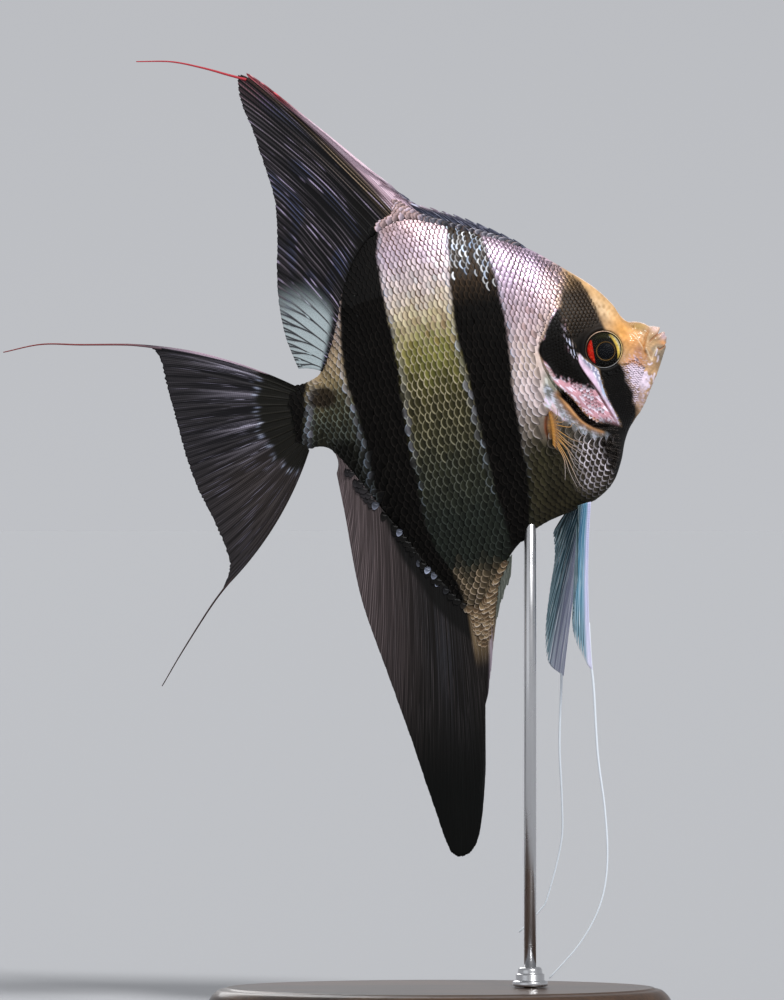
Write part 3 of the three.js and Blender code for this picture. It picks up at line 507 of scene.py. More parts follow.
def gill_coat(x, z, ground):
    """Lays the gill cover's rose and lilac, its stripe and the flesh behind it over the ground. Also
    gives where the cover is and where its stripe is."""
    cheek_d, cheek_side, _ = from_path(CHEEK_EDGE, x, z)
    gill_d, gill_side, gill_t = from_path(GILL_EDGE, x, z)
    cover = smooth(-0.1, 0.2, gill_d * gill_side) * smooth(-0.2, 0.1, -cheek_d * cheek_side)
    cover *= (gill_d < 11) & (cheek_d < 11) & (z < 13.5) & (z > -19.6)
    dash = noise(0.4 * (0.68 * x - 0.73 * z), 1.5 * (0.73 * x + 0.68 * z), 1.1, 12)
    lip = np.exp(-((gill_d / 0.3) ** 2)) * smooth(0.55, 0.65, gill_t) * (gill_side > 0)
    stripe = between(STRIPE, x, z, 0.12) * (1 - smooth(0.6, 1.6, z)) * smooth(-19.4, -18.4, z)
    ahead = x - (STRIPE[0](z) + STRIPE[1](z)) / 2
    frosty = smooth(0.1, 0.5, noise(x + 0.6 * z, z - 0.5 * x, 0.9, 24)) * smooth(-0.6, 0.4, ahead)
    sheen = layered(
        graded((0.84, 0.62, 0.80), (0.34, 0.36, 0.50), smooth(-0.3, 0.7, ahead)),
        (FROST, frosty), (ICE, spot(x, z, (78.3, -9.6), (0.45, 1.5))),
    )
    seam = 0.9 * stroke(CHEEK_EDGE, x + 0.22, z, 0.2, 0.3) * smooth(0.5, -0.6, z)
    ground = layered(
        ground, (graded((0.66, 0.34, 0.40), (0.96, 0.80, 0.94), smooth(0.1, 0.4, dash)), cover),
        ((0.62, 0.30, 0.12), 0.8 * lip), (sheen, stripe), ((0.06, 0.02, 0.012), seam),
    )

    # The grey flap of skin behind the cover and the lilac fold over the root of the fin.
    flap = smooth(64.9, 65.6, x - 0.1 * z) * smooth(1.0, -0.6, z) * (gill_side < 0) * smooth(-8.6, -7.2, z)
    flap = np.maximum(flap, spot(x, z, (64.6, -4.4), (1.5, 3.6), -14))
    pale = smooth(0.1, 0.5, noise(x, 0.25 * z, 1.1, 25))
    grey = noise(x + 0.6 * z, 0.4 * z, 1.0, 46)
    fold = spot(x, z, (65.4, -10.2), (3.2, 2.2), -50) + spot(x, z, (67.6, -13.6), (2.2, 1.4), -45)
    fold = smooth(0.30, 0.52, fold + 0.16 * noise(x, z, 1.6, 45))

    # The rim behind the gill opening: grey flesh with a painted wet sheen and painted glints, and brown along
    # its crest.
    rim_d, rim_side, _ = from_path(GILL_RIM, x, z, 4)
    wet = (1 - smooth(1.8, 3.0, rim_d)) * (rim_side < 0)
    wet_sheen = smooth(-0.1, 0.5, noise(x + z, z, 1.3, 49))

    # The orange pad of the pectoral fin, ribbed where its rays begin, and the dark crease at its root.
    root_d, root_side, root_t = from_path(PECTORAL_ROOT, x, z, 5)
    root_fade = np.sin(np.pi * np.clip(root_t, 0.02, 0.98)) ** 0.4
    ribs = 0.75 + 0.25 * np.cos(root_t * 2 * np.pi * 9)
    pad = (root_d < 5) * np.exp(-((root_d * root_side - 1.2) / 0.9) ** 2) * root_fade * ribs
    # Painted shade in the gill opening.
    slit = smooth(0.40, 0.52, gill_t) * (gill_side < 0) * (1 - smooth(0.94, 1.0, gill_t))
    slit *= smooth(0.02, 0.2, gill_d) * (1 - smooth(1.6, 2.1, gill_d))
    ground = layered(
        ground,
        (graded((0.24, 0.25, 0.19), (0.78, 0.80, 0.74), 0.7 * pale), 0.9 * flap),
        (graded(LILAC, (0.60, 0.62, 0.66), smooth(0, 0.5, grey)), fold),
        ((0.15, 0.17, 0.21), 0.85 * spot(x, z, (71.4, -18.8), (3.6, 1.6), -40)),
        (graded((0.16, 0.17, 0.17), (0.62, 0.66, 0.78), 0.8 * wet_sheen), 0.9 * wet),
        *((FROST, 0.8 * stroke(line, x, z, 0.2)) for line in WET_LIGHTS),
        ((0.42, 0.21, 0.09), stroke(GILL_RIM, x, z - 0.1, 0.95, 0.1)),
        ((0.66, 0.34, 0.14), 0.4 * stroke(GILL_RIM, x - 0.2, z - 0.4, 0.28, 0.2)),
        (ORANGE, pad), ((0.20, 0.05, 0.015), 0.95 * np.exp(-((root_d / 0.42) ** 2)) * root_fade),
        (SLIT, slit),
    )
    return ground, np.clip(cover, 0, 1), stripe


def coat(x, z):
    """At points of the side view: the colour of the coat without its black, the colour of a scale's
    free edge (partly a painted highlight), how black and how brown the markings are, and how much
    the place shimmers."""
    wobble = noise(x, z, 5.0, 3)
    ground, bright, shimmer = flank_coat(x, z)
    on_head = smooth(-1, 1, (x - HEAD_LINE(z)) / (0.4 + 1.3 * smooth(6, 12, z)))
    ground = mix(ground, head_coat(x, z), on_head)
    ground, cover, stripe = gill_coat(x, z, ground)
    bright = mix(bright, (0.55, 0.40, 0.30), on_head * smooth(0, 6, z))
    bright = mix(bright, FROST, np.maximum(cover, on_head * smooth(2, -2, z)))
    bright = mix(bright, (1.0, 0.82, 0.98), on_head * smooth(83, 85, x) * smooth(-2, -5, z))

    # The black bars, the spot and band of the tail stem, the patch on the gill cover, the throat.
    xe = x + 0.22 * wobble + 0.16 * noise(x, z, 1.7, 4)
    eye_black = between(EYE_BAR, xe, z, 0.75) * (1 - smooth(16, 25, z + wobble)) * smooth(-26, -23, z)
    patch_low = -3.6 - 0.57 * (x - 67)
    patch = between(GILL_PATCH, xe, z, 0.35) * smooth(-0.9, 0.8, z - patch_low + 0.9 * noise(x, z, 1.4, 26))
    patch *= 1 - smooth(13, 16, z)
    stem_spot = 1 - smooth(0.75, 1.2, np.hypot((x - 6.8) / 3.7, (z - 3.9) / 3.0) + 0.12 * wobble)
    band = 1 - smooth(-0.5, 0.5, x - 1.2 - 0.27 * z + 0.3 * wobble)
    under = (1 - smooth(-10.5, -6.5, z + 0.4 * wobble)) * (1 - smooth(11, 15, x))
    throat = (1 - smooth(-23, -20, z)) * smooth(74.4, 76.4, x + 0.2 * (z + 27))
    chin = (1 - smooth(-19.5, -17, z + 0.5 * (x - 80))) * smooth(75.5, 78, x + 0.3 * (z + 20))
    marks = [
        between(REAR_BAR, xe, z, 0.35), between(MIDDLE_BAR, xe, z, 0.35), eye_black, patch,
        stem_spot * (0.92 + 0.08 * wobble), band, 0.8 * under, throat, chin,
    ]
    dark = np.maximum.reduce(marks) * (1 - 0.97 * np.clip(stripe, 0, 1))
    glint = stroke(GLINTS, x, z, 0.8, 0.2) * smooth(0.22, 0.5, noise(3.4 * x, 0.9 * z, 1.5, 44))
    dark, ground = dark * (1 - 0.9 * glint), mix(ground, (0.70, 0.76, 0.98), glint)
    brown = np.maximum.reduce([smooth(3, 13, z) * marks[2], smooth(18, 30, z) * marks[1], 0.25 * stem_spot])
    # Blue-white scale edges just outside the bars and along the tail stem's band: partly painted glints.
    border = np.maximum(beside(REAR_BAR, x, z, 1.7), beside(MIDDLE_BAR, x, z, 1.6)) * (1 - on_head)
    border = np.maximum(border, np.exp(-(((x - 2.5 - 0.27 * z) / 0.8) ** 2)) * (1 - on_head))
    border = border * (0.25 + 0.75 * smooth(-0.5, 0.5, noise(x, z, 2.2, 28)))
    bright = mix(bright, ICE, 0.62 * border * smooth(-40, -8, z))
    ground = mix(ground, (0.50, 0.50, 0.60), 0.4 * border * smooth(-30, 0, z))
    shimmer = np.clip(shimmer + 0.4 * border, 0, 1) * (1 - dark)
    return ground, bright, dark, brown, shimmer


def barred(colour, dark, brown, share=1.0):
    """A colour of the coat with the black or brown of the markings laid over it."""
    return mix(colour, graded(BAR, BAR_BROWN, brown) * share, dark)


# The skin itself: one wet hide, drawn tight over the flesh from the lips to the tail root. It is a
# closed tube of stations, close together on the head, whose rings have most of their points where
# the face has its folds.
RING = 330
STATION_X = np.concatenate([
    np.linspace(-1.6, 60, 60, endpoint=False),
    np.linspace(60, 94, 196, endpoint=False),
    94 + 3.6 * np.sin(np.linspace(0, np.pi / 2, 40)),
])
FINE_ANGLE = np.linspace(-np.pi / 2, 1.5 * np.pi, 1441)


def ring_angles(x):
    """The angles of the ring's points at station x, counted from the belly up the left side."""
    points = flesh(x, FINE_ANGLE)
    steps = np.linalg.norm(np.diff(points, axis=0), axis=1)
    z = (points[1:, 2] + points[:-1, 2]) / 2
    need = 1 + 1.6 * smooth(58, 64, x) * np.exp(-(((z + 5) / 12) ** 2))
    travelled = np.concatenate([[0], np.cumsum(steps * need)])
    return np.interp(np.arange(RING) / RING * travelled[-1], travelled, FINE_ANGLE)


def grid_normals(points, closed_across=True):
    """The outward normals of a grid of points, whose second direction may close on itself."""
    along = np.gradient(points, axis=0)
    if closed_across:
        across = (np.roll(points, -1, axis=1) - np.roll(points, 1, axis=1)) / 2
    else:
        across = np.gradient(points, axis=1)
    normal = np.cross(across, along)
    return normal / np.maximum(np.linalg.norm(normal, axis=2, keepdims=True), 1e-9)


def tube_faces(rings, ring):
    """The quads of a tube of rings, with a fan at each end round a last and a last-but-one point."""
    i, j = np.meshgrid(np.arange(rings - 1), np.arange(ring), indexing="ij")
    a, b = i * ring + j, i * ring + (j + 1) % ring
    quads = np.stack([a, b, b + ring, a + ring], -1).reshape(-1, 4).tolist()
    first, last = rings * ring, rings * ring + 1
    start = [(first, (k + 1) % ring, k) for k in range(ring)]
    top = (rings - 1) * ring
    return quads + start + [(last, top + k, top + (k + 1) % ring) for k in range(ring)]


def turn_out(piece):
    """Turns a closed piece's faces outwards."""
    form = bmesh.new()
    form.from_mesh(piece.data)
    bmesh.ops.recalc_face_normals(form, faces=form.faces)
    form.to_mesh(piece.data)
    form.free()


def make_piece(name, points, faces, paint):
    """A smooth closed piece in the stand's frame, from points in metres."""
    mesh = bpy.data.meshes.new(name)
    mesh.from_pydata(points, [], faces)
    mesh.materials.append(paint)
    mesh.shade_smooth()
    piece = bpy.data.objects.new(name, mesh)
    bpy.context.collection.objects.link(piece)
    turn_out(piece)
    return piece


def give(piece, name, kind, values):
    """An attribute on the points of a piece: a FLOAT, or a FLOAT_COLOR from three channels."""
    values = np.asarray(values, np.float32)
    if kind == "FLOAT_COLOR":
        values = np.concatenate([values, np.ones(values.shape[:1] + (1,), np.float32)], 1)
    slot = piece.data.attributes.new(name, kind, "POINT")
    slot.data.foreach_set("color" if kind == "FLOAT_COLOR" else "value", values.ravel())


def adder(tree):
    """Two short ways to build a node tree: one adds a node of a kind with its inputs and settings, the
    other feeds the inputs of a node, each with a value or with another node's socket."""
    def feed(node, inputs):
        for key, value in inputs.items():
            if isinstance(value, bpy.types.NodeSocket):
                tree.links.new(value, node.inputs[key])
            else:
                node.inputs[key].default_value = value

    def add(kind, inputs=None, **settings):
        node = tree.nodes.new(kind)
        for key, value in settings.items():
            setattr(node, key, value)
        feed(node, inputs or {})
        return node
    return add, feed


def new_paint(name):
    """A new material, a way to add nodes to it and a way to feed its shader."""
    material = bpy.data.materials.new(name)
    material.use_nodes = True
    add, feed = adder(material.node_tree)
    shader = material.node_tree.nodes["Principled BSDF"]
    return material, add, lambda inputs: feed(shader, inputs)


def new_shader_group(name, inputs, outputs):
    """A new node group of floats with its inputs and outputs, and a way to add nodes to it."""
    group = bpy.data.node_groups.new(name, "ShaderNodeTree")
    for key, value in inputs.items():
        group.interface.new_socket(key, in_out="INPUT", socket_type="NodeSocketFloat").default_value = value
    for key in outputs:
        group.interface.new_socket(key, in_out="OUTPUT", socket_type="NodeSocketFloat")
    return group, adder(group)[0]


def flesh_grain():
    """The grain of skin and eyes: soft blotches over fine pebbles, at sizes given in metres."""
    sizes = {"Blotch Size": 0.004, "Pebble Size": 0.0004}
    group, add = new_shader_group("flesh_grain", sizes, ("Tone", "Height"))
    given, place = add("NodeGroupInput"), add("ShaderNodeTexCoord")
    clouds = []
    for key in sizes:
        scale = add("ShaderNodeMath", {0: 1.0, 1: given.outputs[key]}, operation="DIVIDE")
        clouds.append(add("ShaderNodeTexNoise", {
            "Vector": place.outputs["Object"], "Scale": scale.outputs[0], "Detail": 3.0,
        }).outputs["Fac"])
    tone = add("ShaderNodeMapRange", {
        "Value": clouds[0], "From Min": 0.3, "From Max": 0.7, "To Min": 0.72, "To Max": 1.2,
    })
    add("NodeGroupOutput", {"Tone": tone.outputs["Result"], "Height": clouds[1]})
    return group


GRAIN = flesh_grain()


def grained_paint(name, blotch, pebble, specular, depth, strength):
    """A soft surface in its own colours, mottled and pebbled."""
    material, add, feed_shader = new_paint(name)
    ground = add("ShaderNodeAttribute", attribute_name="ground")
    grain = add("ShaderNodeGroup", {"Blotch Size": blotch, "Pebble Size": pebble}, node_tree=GRAIN)
    toned = add("ShaderNodeVectorMath", {
        0: ground.outputs["Color"], "Scale": grain.outputs["Tone"],
    }, operation="SCALE")
    pebbled = add("ShaderNodeBump", {
        "Height": grain.outputs["Height"], "Distance": depth, "Strength": strength,
    })
    feed_shader({
        "Base Color": toned.outputs[0], "Roughness": 0.5, "Specular IOR Level": specular,
        "Normal": pebbled.outputs[0],
    })
    return material, add, feed_shader


skin_paint, add, feed_shader = grained_paint(
    "wet_skin", blotch=0.0035, pebble=0.00035, specular=0.1, depth=0.00012, strength=0.6
)
wet = add("ShaderNodeAttribute", attribute_name="wet")
feed_shader({"Coat Weight": wet.outputs["Fac"], "Coat Roughness": 0.18})

ring_at = np.array([ring_angles(x) for x in STATION_X])
skin_grid = flesh(STATION_X[:, None], ring_at, coat_inset(STATION_X)[:, None])
skin_x, skin_z = skin_grid[..., 0], skin_grid[..., 2]
skin_ground, _, skin_dark, skin_brown, _ = coat(skin_x.ravel(), skin_z.ravel())
skin_colours = barred(skin_ground, skin_dark, skin_brown)
relief = np.where(skin_x > 58, face_relief(skin_x, skin_z), 0)
skin_grid = skin_grid + grid_normals(skin_grid) * relief[..., None]
rings = len(STATION_X)
caps = np.array([skin_grid[0].mean(0), skin_grid[-1].mean(0) + (0.08, 0, 0)])
skin = make_piece(
    "skin", to_room(np.vstack([skin_grid.reshape(-1, 3), caps])), tube_faces(rings, RING), skin_paint
)
give(skin, "ground", "FLOAT_COLOR", np.vstack([skin_colours, skin_colours[[0, -1]]]))
skin_wet = 0.35 * smooth(86, 89, skin_x.ravel()) * (1 - skin_dark)
give(skin, "wet", "FLOAT", np.concatenate([skin_wet, skin_wet[[0, -1]]]))
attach(skin, "root")
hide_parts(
    "head", "upper_jaw", "lower_jaw", "trunk", "tail_stem", "gill_cover_left", "gill_cover_right"
)

# ------------------------------------------------------------------------------------------------
# The scales: thin bony plates, each rooted in a pocket of the skin and lying over the next one
# behind it. Rows run along the body, every other row half a plate further on. The plates are
# largest low on the flank and small on the back, the tail stem and the gill cover.
# ------------------------------------------------------------------------------------------------
SCALE_SINK = 0.11  # how deep a root lies under the skin's surface, as a share of its row's pitch
SCALE_TILT = 7.5  # degrees that a plate leans out of the skin
SCALE_THICK = 0.1
ROW_ANCHORS = (8.0, 36.0, 64.0)  # the rows are in step here; they slip past each other in the black bars
LENGTH_PER_PITCH, WIDTH_PER_ROW = 2.0, 2.15
PITCH_AT = through([  # from root to root along a row, by the row's level
    (-60, 1.5), (-45, 1.6), (-26, 1.65), (-10, 1.57), (5, 1.47), (20, 1.27), (33, 1.22), (43, 1.08),
    (60, 1.0),
])
ROW_AT = through([  # from row to row
    (-60, 1.2), (-45, 1.7), (-26, 2.05), (-10, 2.2), (5, 2.15), (20, 1.8), (33, 1.62), (42, 1.15),
    (60, 0.95),
])
PATCH_IN_UNWRAP = 0.003  # the width of one scale's patch on the unwrapped body
UNWRAP_START, UNWRAP_LENGTH = -2, 101
REAR_END, MIDDLE_END, BAR_TOP = 29, 50, 26  # where the flank's pieces meet, and how high the black one goes
SHOWN = 1.4  # how far behind its root the middle of the part of a scale that shows lies, in pitches


def plate_mesh():
    """One scale of unit length and width, from its root at 0 to its round free edge at x = 1."""
    across = np.linspace(-1, 1, 9)
    along = np.array([0, 0.45, 0.7, 0.88, 1.0])
    a, l = np.meshgrid(across, along, indexing="ij")
    x = l * (1 - 0.48 * np.abs(a) ** 2.1)
    y = 0.5 * a * (0.86 + 0.14 * np.sin(np.pi * l))
    z = SCALE_THICK * (1 - a**2) ** 0.8 * np.sqrt(np.clip((1 - l**5) * (1 - (1 - l) ** 6), 0, 1))
    n, m = a.shape
    quads = [
        (i * m + j, i * m + j + 1, (i + 1) * m + j + 1, (i + 1) * m + j)
        for i in range(n - 1) for j in range(m - 1)
    ]
    rim = list(range(m)) + [i * m + m - 1 for i in range(1, n)]
    rim += [(n - 1) * m + j for j in range(m - 2, -1, -1)] + [i * m for i in range(n - 2, 0, -1)]
    mesh = bpy.data.meshes.new("plate")
    mesh.from_pydata(np.stack([x, y, z], -1).reshape(-1, 3), [], quads + [rim])
    mesh.shade_smooth()
    plate = bpy.data.objects.new("plate", mesh)
    turn_out(plate)
    slot = mesh.attributes.new("plate", "FLOAT_VECTOR", "POINT")
    slot.data.foreach_set("vector", np.stack([a, l, 0 * a], -1).astype(np.float32).ravel())
    return plate


def scatter_tree(name):
    """A tree that sets a plate on every point, outward and tailward as the point says, and paints it."""
    tree = bpy.data.node_groups.new(name, "GeometryNodeTree")
    face = tree.interface
    face.new_socket("Geometry", in_out="INPUT", socket_type="NodeSocketGeometry")
    for key, kind, value in (
        ("Plate", "NodeSocketObject", None), ("Paint", "NodeSocketMaterial", None),
        ("Tilt", "NodeSocketFloat", 0.1), ("Tilt Spread", "NodeSocketFloat", 0.02),
        ("Seed", "NodeSocketInt", 1),
    ):
        made = face.new_socket(key, in_out="INPUT", socket_type=kind)
        if value is not None:
            made.default_value = value
    face.new_socket("Geometry", in_out="OUTPUT", socket_type="NodeSocketGeometry")
    add, _ = adder(tree)

    def named(key):
        return add("GeometryNodeInputNamedAttribute", {"Name": key}, data_type="FLOAT_VECTOR").outputs[0]
    given = add("NodeGroupInput")
    plate = add("GeometryNodeObjectInfo", {"Object": given.outputs["Plate"]})
    upright = add("FunctionNodeAlignRotationToVector", {"Vector": named("outward")}, axis="Z")
    turned = add(
        "FunctionNodeAlignRotationToVector", {"Rotation": upright.outputs[0], "Vector": named("tailward")},
        axis="X", pivot_axis="Z",
    )
    spread = add("ShaderNodeMath", {0: given.outputs["Tilt Spread"], 1: -1.0}, operation="MULTIPLY")
    jitter = add(
        "FunctionNodeRandomValue",
        {2: spread.outputs[0], 3: given.outputs["Tilt Spread"], "Seed": given.outputs["Seed"]},
        data_type="FLOAT",
    )
    lean = add("ShaderNodeMath", {0: jitter.outputs[1], 1: given.outputs["Tilt"]}, operation="SUBTRACT")
    euler = add("ShaderNodeCombineXYZ", {"Y": lean.outputs[0], "X": jitter.outputs[1]})
    tip = add("FunctionNodeEulerToRotation", {0: euler.outputs[0]})
    leaning = add(
        "FunctionNodeRotateRotation", {0: turned.outputs[0], 1: tip.outputs[0]}, rotation_space="LOCAL"
    )
    placed = add(
        "GeometryNodeInstanceOnPoints",
        {"Points": given.outputs["Geometry"], "Instance": plate.outputs["Geometry"],
         "Rotation": leaning.outputs[0], "Scale": named("size")},
    )
    real = add("GeometryNodeRealizeInstances", {"Geometry": placed.outputs[0]})
    local = add(
        "ShaderNodeVectorMath", {0: named("plate"), "Scale": PATCH_IN_UNWRAP / 2}, operation="SCALE"
    )
    patch = add("ShaderNodeVectorMath", {0: local.outputs[0], 1: named("root_place")}, operation="ADD")
    mapped = add(
        "GeometryNodeStoreNamedAttribute",
        {"Geometry": real.outputs[0], "Name": "OFBake", "Value": patch.outputs[0]},
        data_type="FLOAT2", domain="CORNER",
    )
    painted = add("GeometryNodeSetMaterial", {
        "Geometry": mapped.outputs[0], "Material": given.outputs["Paint"],
    })
    add("NodeGroupOutput", {0: painted.outputs[0]})
    return tree


def lie_of(x, angle, lean, side, sink):
    """Roots on one side of the body: their places, and the directions outward and tailward."""
    h = 0.1
    along = flesh(x + h, angle) - flesh(x - h, angle)
    around = flesh(x, angle + 0.01) - flesh(x, angle - 0.01)
    outward = np.cross(around, along)
    outward /= np.linalg.norm(outward, axis=1, keepdims=True)
    tailward = np.column_stack([-np.cos(lean), 0 * x, np.sin(lean)])
    tailward -= outward * (tailward * outward).sum(1, keepdims=True)
    tailward /= np.linalg.norm(tailward, axis=1, keepdims=True)
    place = flesh(x, angle, coat_inset(x))
    lift = np.where(x > 58, face_relief(place[:, 0], place[:, 2]), 0) - sink
    place = place + outward * np.clip(lift, -0.8, 0.6)[:, None]
    mirror = np.array([1, side, 1])
    return place * mirror, outward * mirror, tailward * mirror


ARC_ANGLES = np.linspace(-1.535, 1.5, 300)
ARC_LEVELS = np.linspace(-70, 60, 1301)


def crowd(x):
    """How much closer the rows are, towards the tail and towards the head."""
    return 1 - 0.36 * (1 - smooth(3, 24, x)) - 0.22 * smooth(46, 74, x)


def shorten(x):
    """How much closer the scales of a row follow each other there."""
    return 1 - 0.06 * (1 - smooth(3, 24, x)) - 0.14 * smooth(46, 74, x)


def flank_roots(anchor):
    """Where the flank's scales are rooted on the left side, in rows that are in step at the anchor:
    x, angle, pitch, row height and lean."""
    xs = np.linspace(-1, 88, 900)
    travelled = np.concatenate([[0], np.cumsum(np.diff(xs) / shorten((xs[1:] + xs[:-1]) / 2))])
    travelled -= np.interp(anchor, xs, travelled)
    rows = np.concatenate([[0], np.cumsum(np.diff(ARC_LEVELS) / ROW_AT(ARC_LEVELS[1:]))])
    rows -= np.interp(0, ARC_LEVELS, rows)
    found = []
    for row in range(int(rows[0]), int(rows[-1]) + 1):
        level = np.interp(row, rows, ARC_LEVELS)
        pitch = float(PITCH_AT(level))
        x = np.interp((np.arange(-60, 80) + 0.5 * (row % 2)) * pitch, travelled, xs, left=-9, right=99)
        x = x[(x > 0.3) & (x < 85)]
        arc = level * crowd(x)
        points = flesh(x[:, None], ARC_ANGLES)
        length = np.linalg.norm(np.diff(points, axis=1), axis=2).cumsum(axis=1)
        length = np.concatenate([np.zeros((len(x), 1)), length], 1)
        length -= length[:, [np.searchsorted(ARC_ANGLES, 0)]]
        inside = (arc > length[:, 0] + 0.2) & (arc < length[:, -1] - 0.15)
        angle = np.array([np.interp(a, l, ARC_ANGLES) for a, l in zip(arc, length)])
        lean = -np.arctan(level * (crowd(x + 0.5) - crowd(x - 0.5)))
        found.append(np.column_stack([x, angle, shorten(x) * pitch, crowd(x) * ROW_AT(level), lean])[inside])
    x, angle, pitch, height, lean = np.vstack(found).T
    z = flesh(x, angle)[:, 2]
    for contour, away in ((back, back(x) - z), (belly, z - belly(x))):
        slope = contour(x + 0.5) - contour(x - 0.5)
        lean = lean + (-np.arctan(slope) - lean) * np.exp(-away / 2.5)
    away = np.minimum(back(x) - z, z - belly(x))
    small = 0.62 + 0.38 * smooth(0, 4, away)
    roots = np.column_stack([x, angle, small * pitch, small * height, lean])
    return roots[away > 0.5]


def side_lattice(middle, turn, pitch, row):
    """A lattice of places on the side view of the head, in rows that are turned about a middle."""
    p, q = np.meshgrid(np.arange(-60, 60), np.arange(-60, 60), indexing="ij")
    along, across = (q + 0.5 * (p % 2)) * pitch, p * row
    c, s = math.cos(turn), math.sin(turn)
    x, z = (middle[0] + along * c - across * s).ravel(), (middle[1] + along * s + across * c).ravel()
    keep = (x > 60) & (x < 95) & (z > -26) & (z < 30)
    x, z = x[keep], z[keep]
    keep = (z > belly(x) + 0.3) & (z < back(x) - 0.3)
    return x[keep], z[keep]


def rooted(x, z, pitch, row, lean):
    """Places on the side view as roots: x, angle, pitch, row height and lean."""
    reach = np.where(z > widest(x), back(x) - widest(x), widest(x) - belly(x))
    angle = np.arcsin(np.clip((z - widest(x)) / reach, -1, 1))
    return np.column_stack([x, angle, pitch + 0 * x, row + 0 * x, lean + 0 * x])


def cover_roots():
    """The gill cover's slim scales, in rows that run along its lower edge."""
    x, z = side_lattice((72, -6), math.radians(-41), 1.0, 0.7)
    cheek_d, cheek_side, _ = from_path(CHEEK_EDGE, x, z)
    gill_d, gill_side, _ = from_path(GILL_EDGE, x, z)
    keep = (gill_side > 0) & (gill_d > 1.3) & (cheek_side < 0) & (cheek_d > 0.75) & (z < 12) & (z > -18)
    return rooted(x[keep], z[keep], 0.86, 0.56, -0.85)


def cheek_roots():
    """The smallest scales of all, on the cheek below and ahead of the eye."""
    x, z = side_lattice((85, -8), math.radians(60), 0.62, 0.62)
    _, cheek_side, _ = from_path(CHEEK_EDGE, x, z)
    jaw_d, jaw_side, _ = from_path(JAW_FOLD, x, z, 30)
    from_eye = np.hypot(x - EYE["x"], z - EYE["z"])
    keep = (x > STRIPE[1](z) + 0.4) & (cheek_side > 0) & (jaw_side < 0) & (jaw_d > 0.6) & (from_eye > 5.9)
    keep &= (z > -19 + 0.5 * (80 - x)) & (z < -2.2 - 0.25 * (90 - x)) & (x + 0.5 * z < 87.6)
    return rooted(x[keep], z[keep], 0.56, 0.56, -0.95)


def nape_roots():
    """Small scales that carry the flank's rows on over the nape and shrink towards the forehead."""
    x, z = side_lattice((72, 18), math.radians(-8), 0.96, 0.95)
    front = EYE_BAR[1](z) + 0.5
    from_eye = np.hypot(x - EYE["x"], z - EYE["z"])
    keep = (x > HEAD_LINE(z) - 0.2) & (z > 6) & (x < front) & (back(x) - z > 0.5) & (from_eye > 6.6)
    x, z = x[keep], z[keep]
    small = (1 - 0.35 * smooth(71, 80, x)) * (0.7 + 0.3 * smooth(7, 12, z))
    return rooted(x, z, 0.96 * small, 0.95 * small, 0.12)


def bare(x, z):
    """Where the flank has no scales: the head, the pectoral fin's pad, the flap and the fold over it,
    the gill opening and the rim behind it."""
    root_d, root_side, root_t = from_path(PECTORAL_ROOT, x, z)
    pad = (root_d * root_side > -0.3) & (root_d < 2.6) & (root_t > 0.02) & (root_t < 0.98)
    fold = spot(x, z, (66.0, -11.0), (4.0, 2.2), -48) > 0.4
    flap = spot(x, z, (64.9, -4.4), (1.2, 3.2), -14) > 0.4
    gill_d, _, _ = from_path(GILL_EDGE, x, z)
    rim_d, _, _ = from_path(GILL_RIM, x, z, 3)
    opening = (gill_d < 0.5) & (z < 8) & (z > -20) & (x > 60)
    return (x > HEAD_LINE(z) - 0.2) | pad | fold | flap | opening | (rim_d < 2.3)


# Which parts of the side view are black or brown, at a fine grid, for the points of the scales.
GRID_START, GRID_STEP = (-3.0, -63.0), 0.15
grid_x, grid_z = np.meshgrid(
    np.arange(GRID_START[0], 99, GRID_STEP), np.arange(GRID_START[1], 53, GRID_STEP), indexing="ij"
)
_, _, grid_dark, grid_brown, _ = coat(grid_x.ravel(), grid_z.ravel())
MARKS = np.stack([grid_dark, grid_brown], -1).reshape(grid_x.shape + (2,))


def marks_at(x, z):
    """How black and how brown places of the side view are."""
    i = np.clip((x - GRID_START[0]) / GRID_STEP, 0, MARKS.shape[0] - 1.001)
    j = np.clip((z - GRID_START[1]) / GRID_STEP, 0, MARKS.shape[1] - 1.001)
    p, q = i.astype(int), j.astype(int)
    f, g = (i - p)[:, None], (j - q)[:, None]
    low = MARKS[p, q] * (1 - g) + MARKS[p, q + 1] * g
    high = MARKS[p + 1, q] * (1 - g) + MARKS[p + 1, q + 1] * g
    return (low * (1 - f) + high * f).T


def lay_marks(piece):
    """Lays the black and brown of the markings over a piece's scales, point by point."""
    mesh = piece.data
    count = len(mesh.vertices)
    room = np.zeros(count * 3, np.float32)
    mesh.vertices.foreach_get("co", room)
    dx, dz = room[0::3] / MM - TAIL_ROOT[0], room[2::3] / MM - TAIL_ROOT[1]
    x = dx * math.cos(NOSE_UP) + dz * math.sin(NOSE_UP)
    z = dz * math.cos(NOSE_UP) - dx * math.sin(NOSE_UP)
    dark, brown = marks_at(x, z)
    spared = np.zeros(count, np.float32)
    mesh.attributes["spared"].data.foreach_get("value", spared)
    for key, share in (("ground", 1.0), ("bright", 4.0)):
        colour = np.zeros(count * 4, np.float32)
        mesh.attributes[key].data.foreach_get("color", colour)
        colour = colour.reshape(-1, 4)
        covered = dark * (1 - spared * (key == "bright"))
        colour[:, :3] = barred(colour[:, :3], covered, brown, share - 0.5 * (share - 1) * brown[:, None])
        mesh.attributes[key].data.foreach_set("color", colour.ravel())
    shimmer = np.zeros(count, np.float32)
    mesh.attributes["shimmer"].data.foreach_get("value", shimmer)
    mesh.attributes["shimmer"].data.foreach_set("value", (shimmer * (1 - dark)).astype(np.float32))


def unwrapped(x, angle, side):
    """A place on the skin's own unwrap: along the body, and round it from the belly seam."""
    turn = np.where(side > 0, angle, np.pi - angle) + np.pi / 2
    return np.column_stack([(x - UNWRAP_START) / UNWRAP_LENGTH, turn / (2 * np.pi), 0 * x])


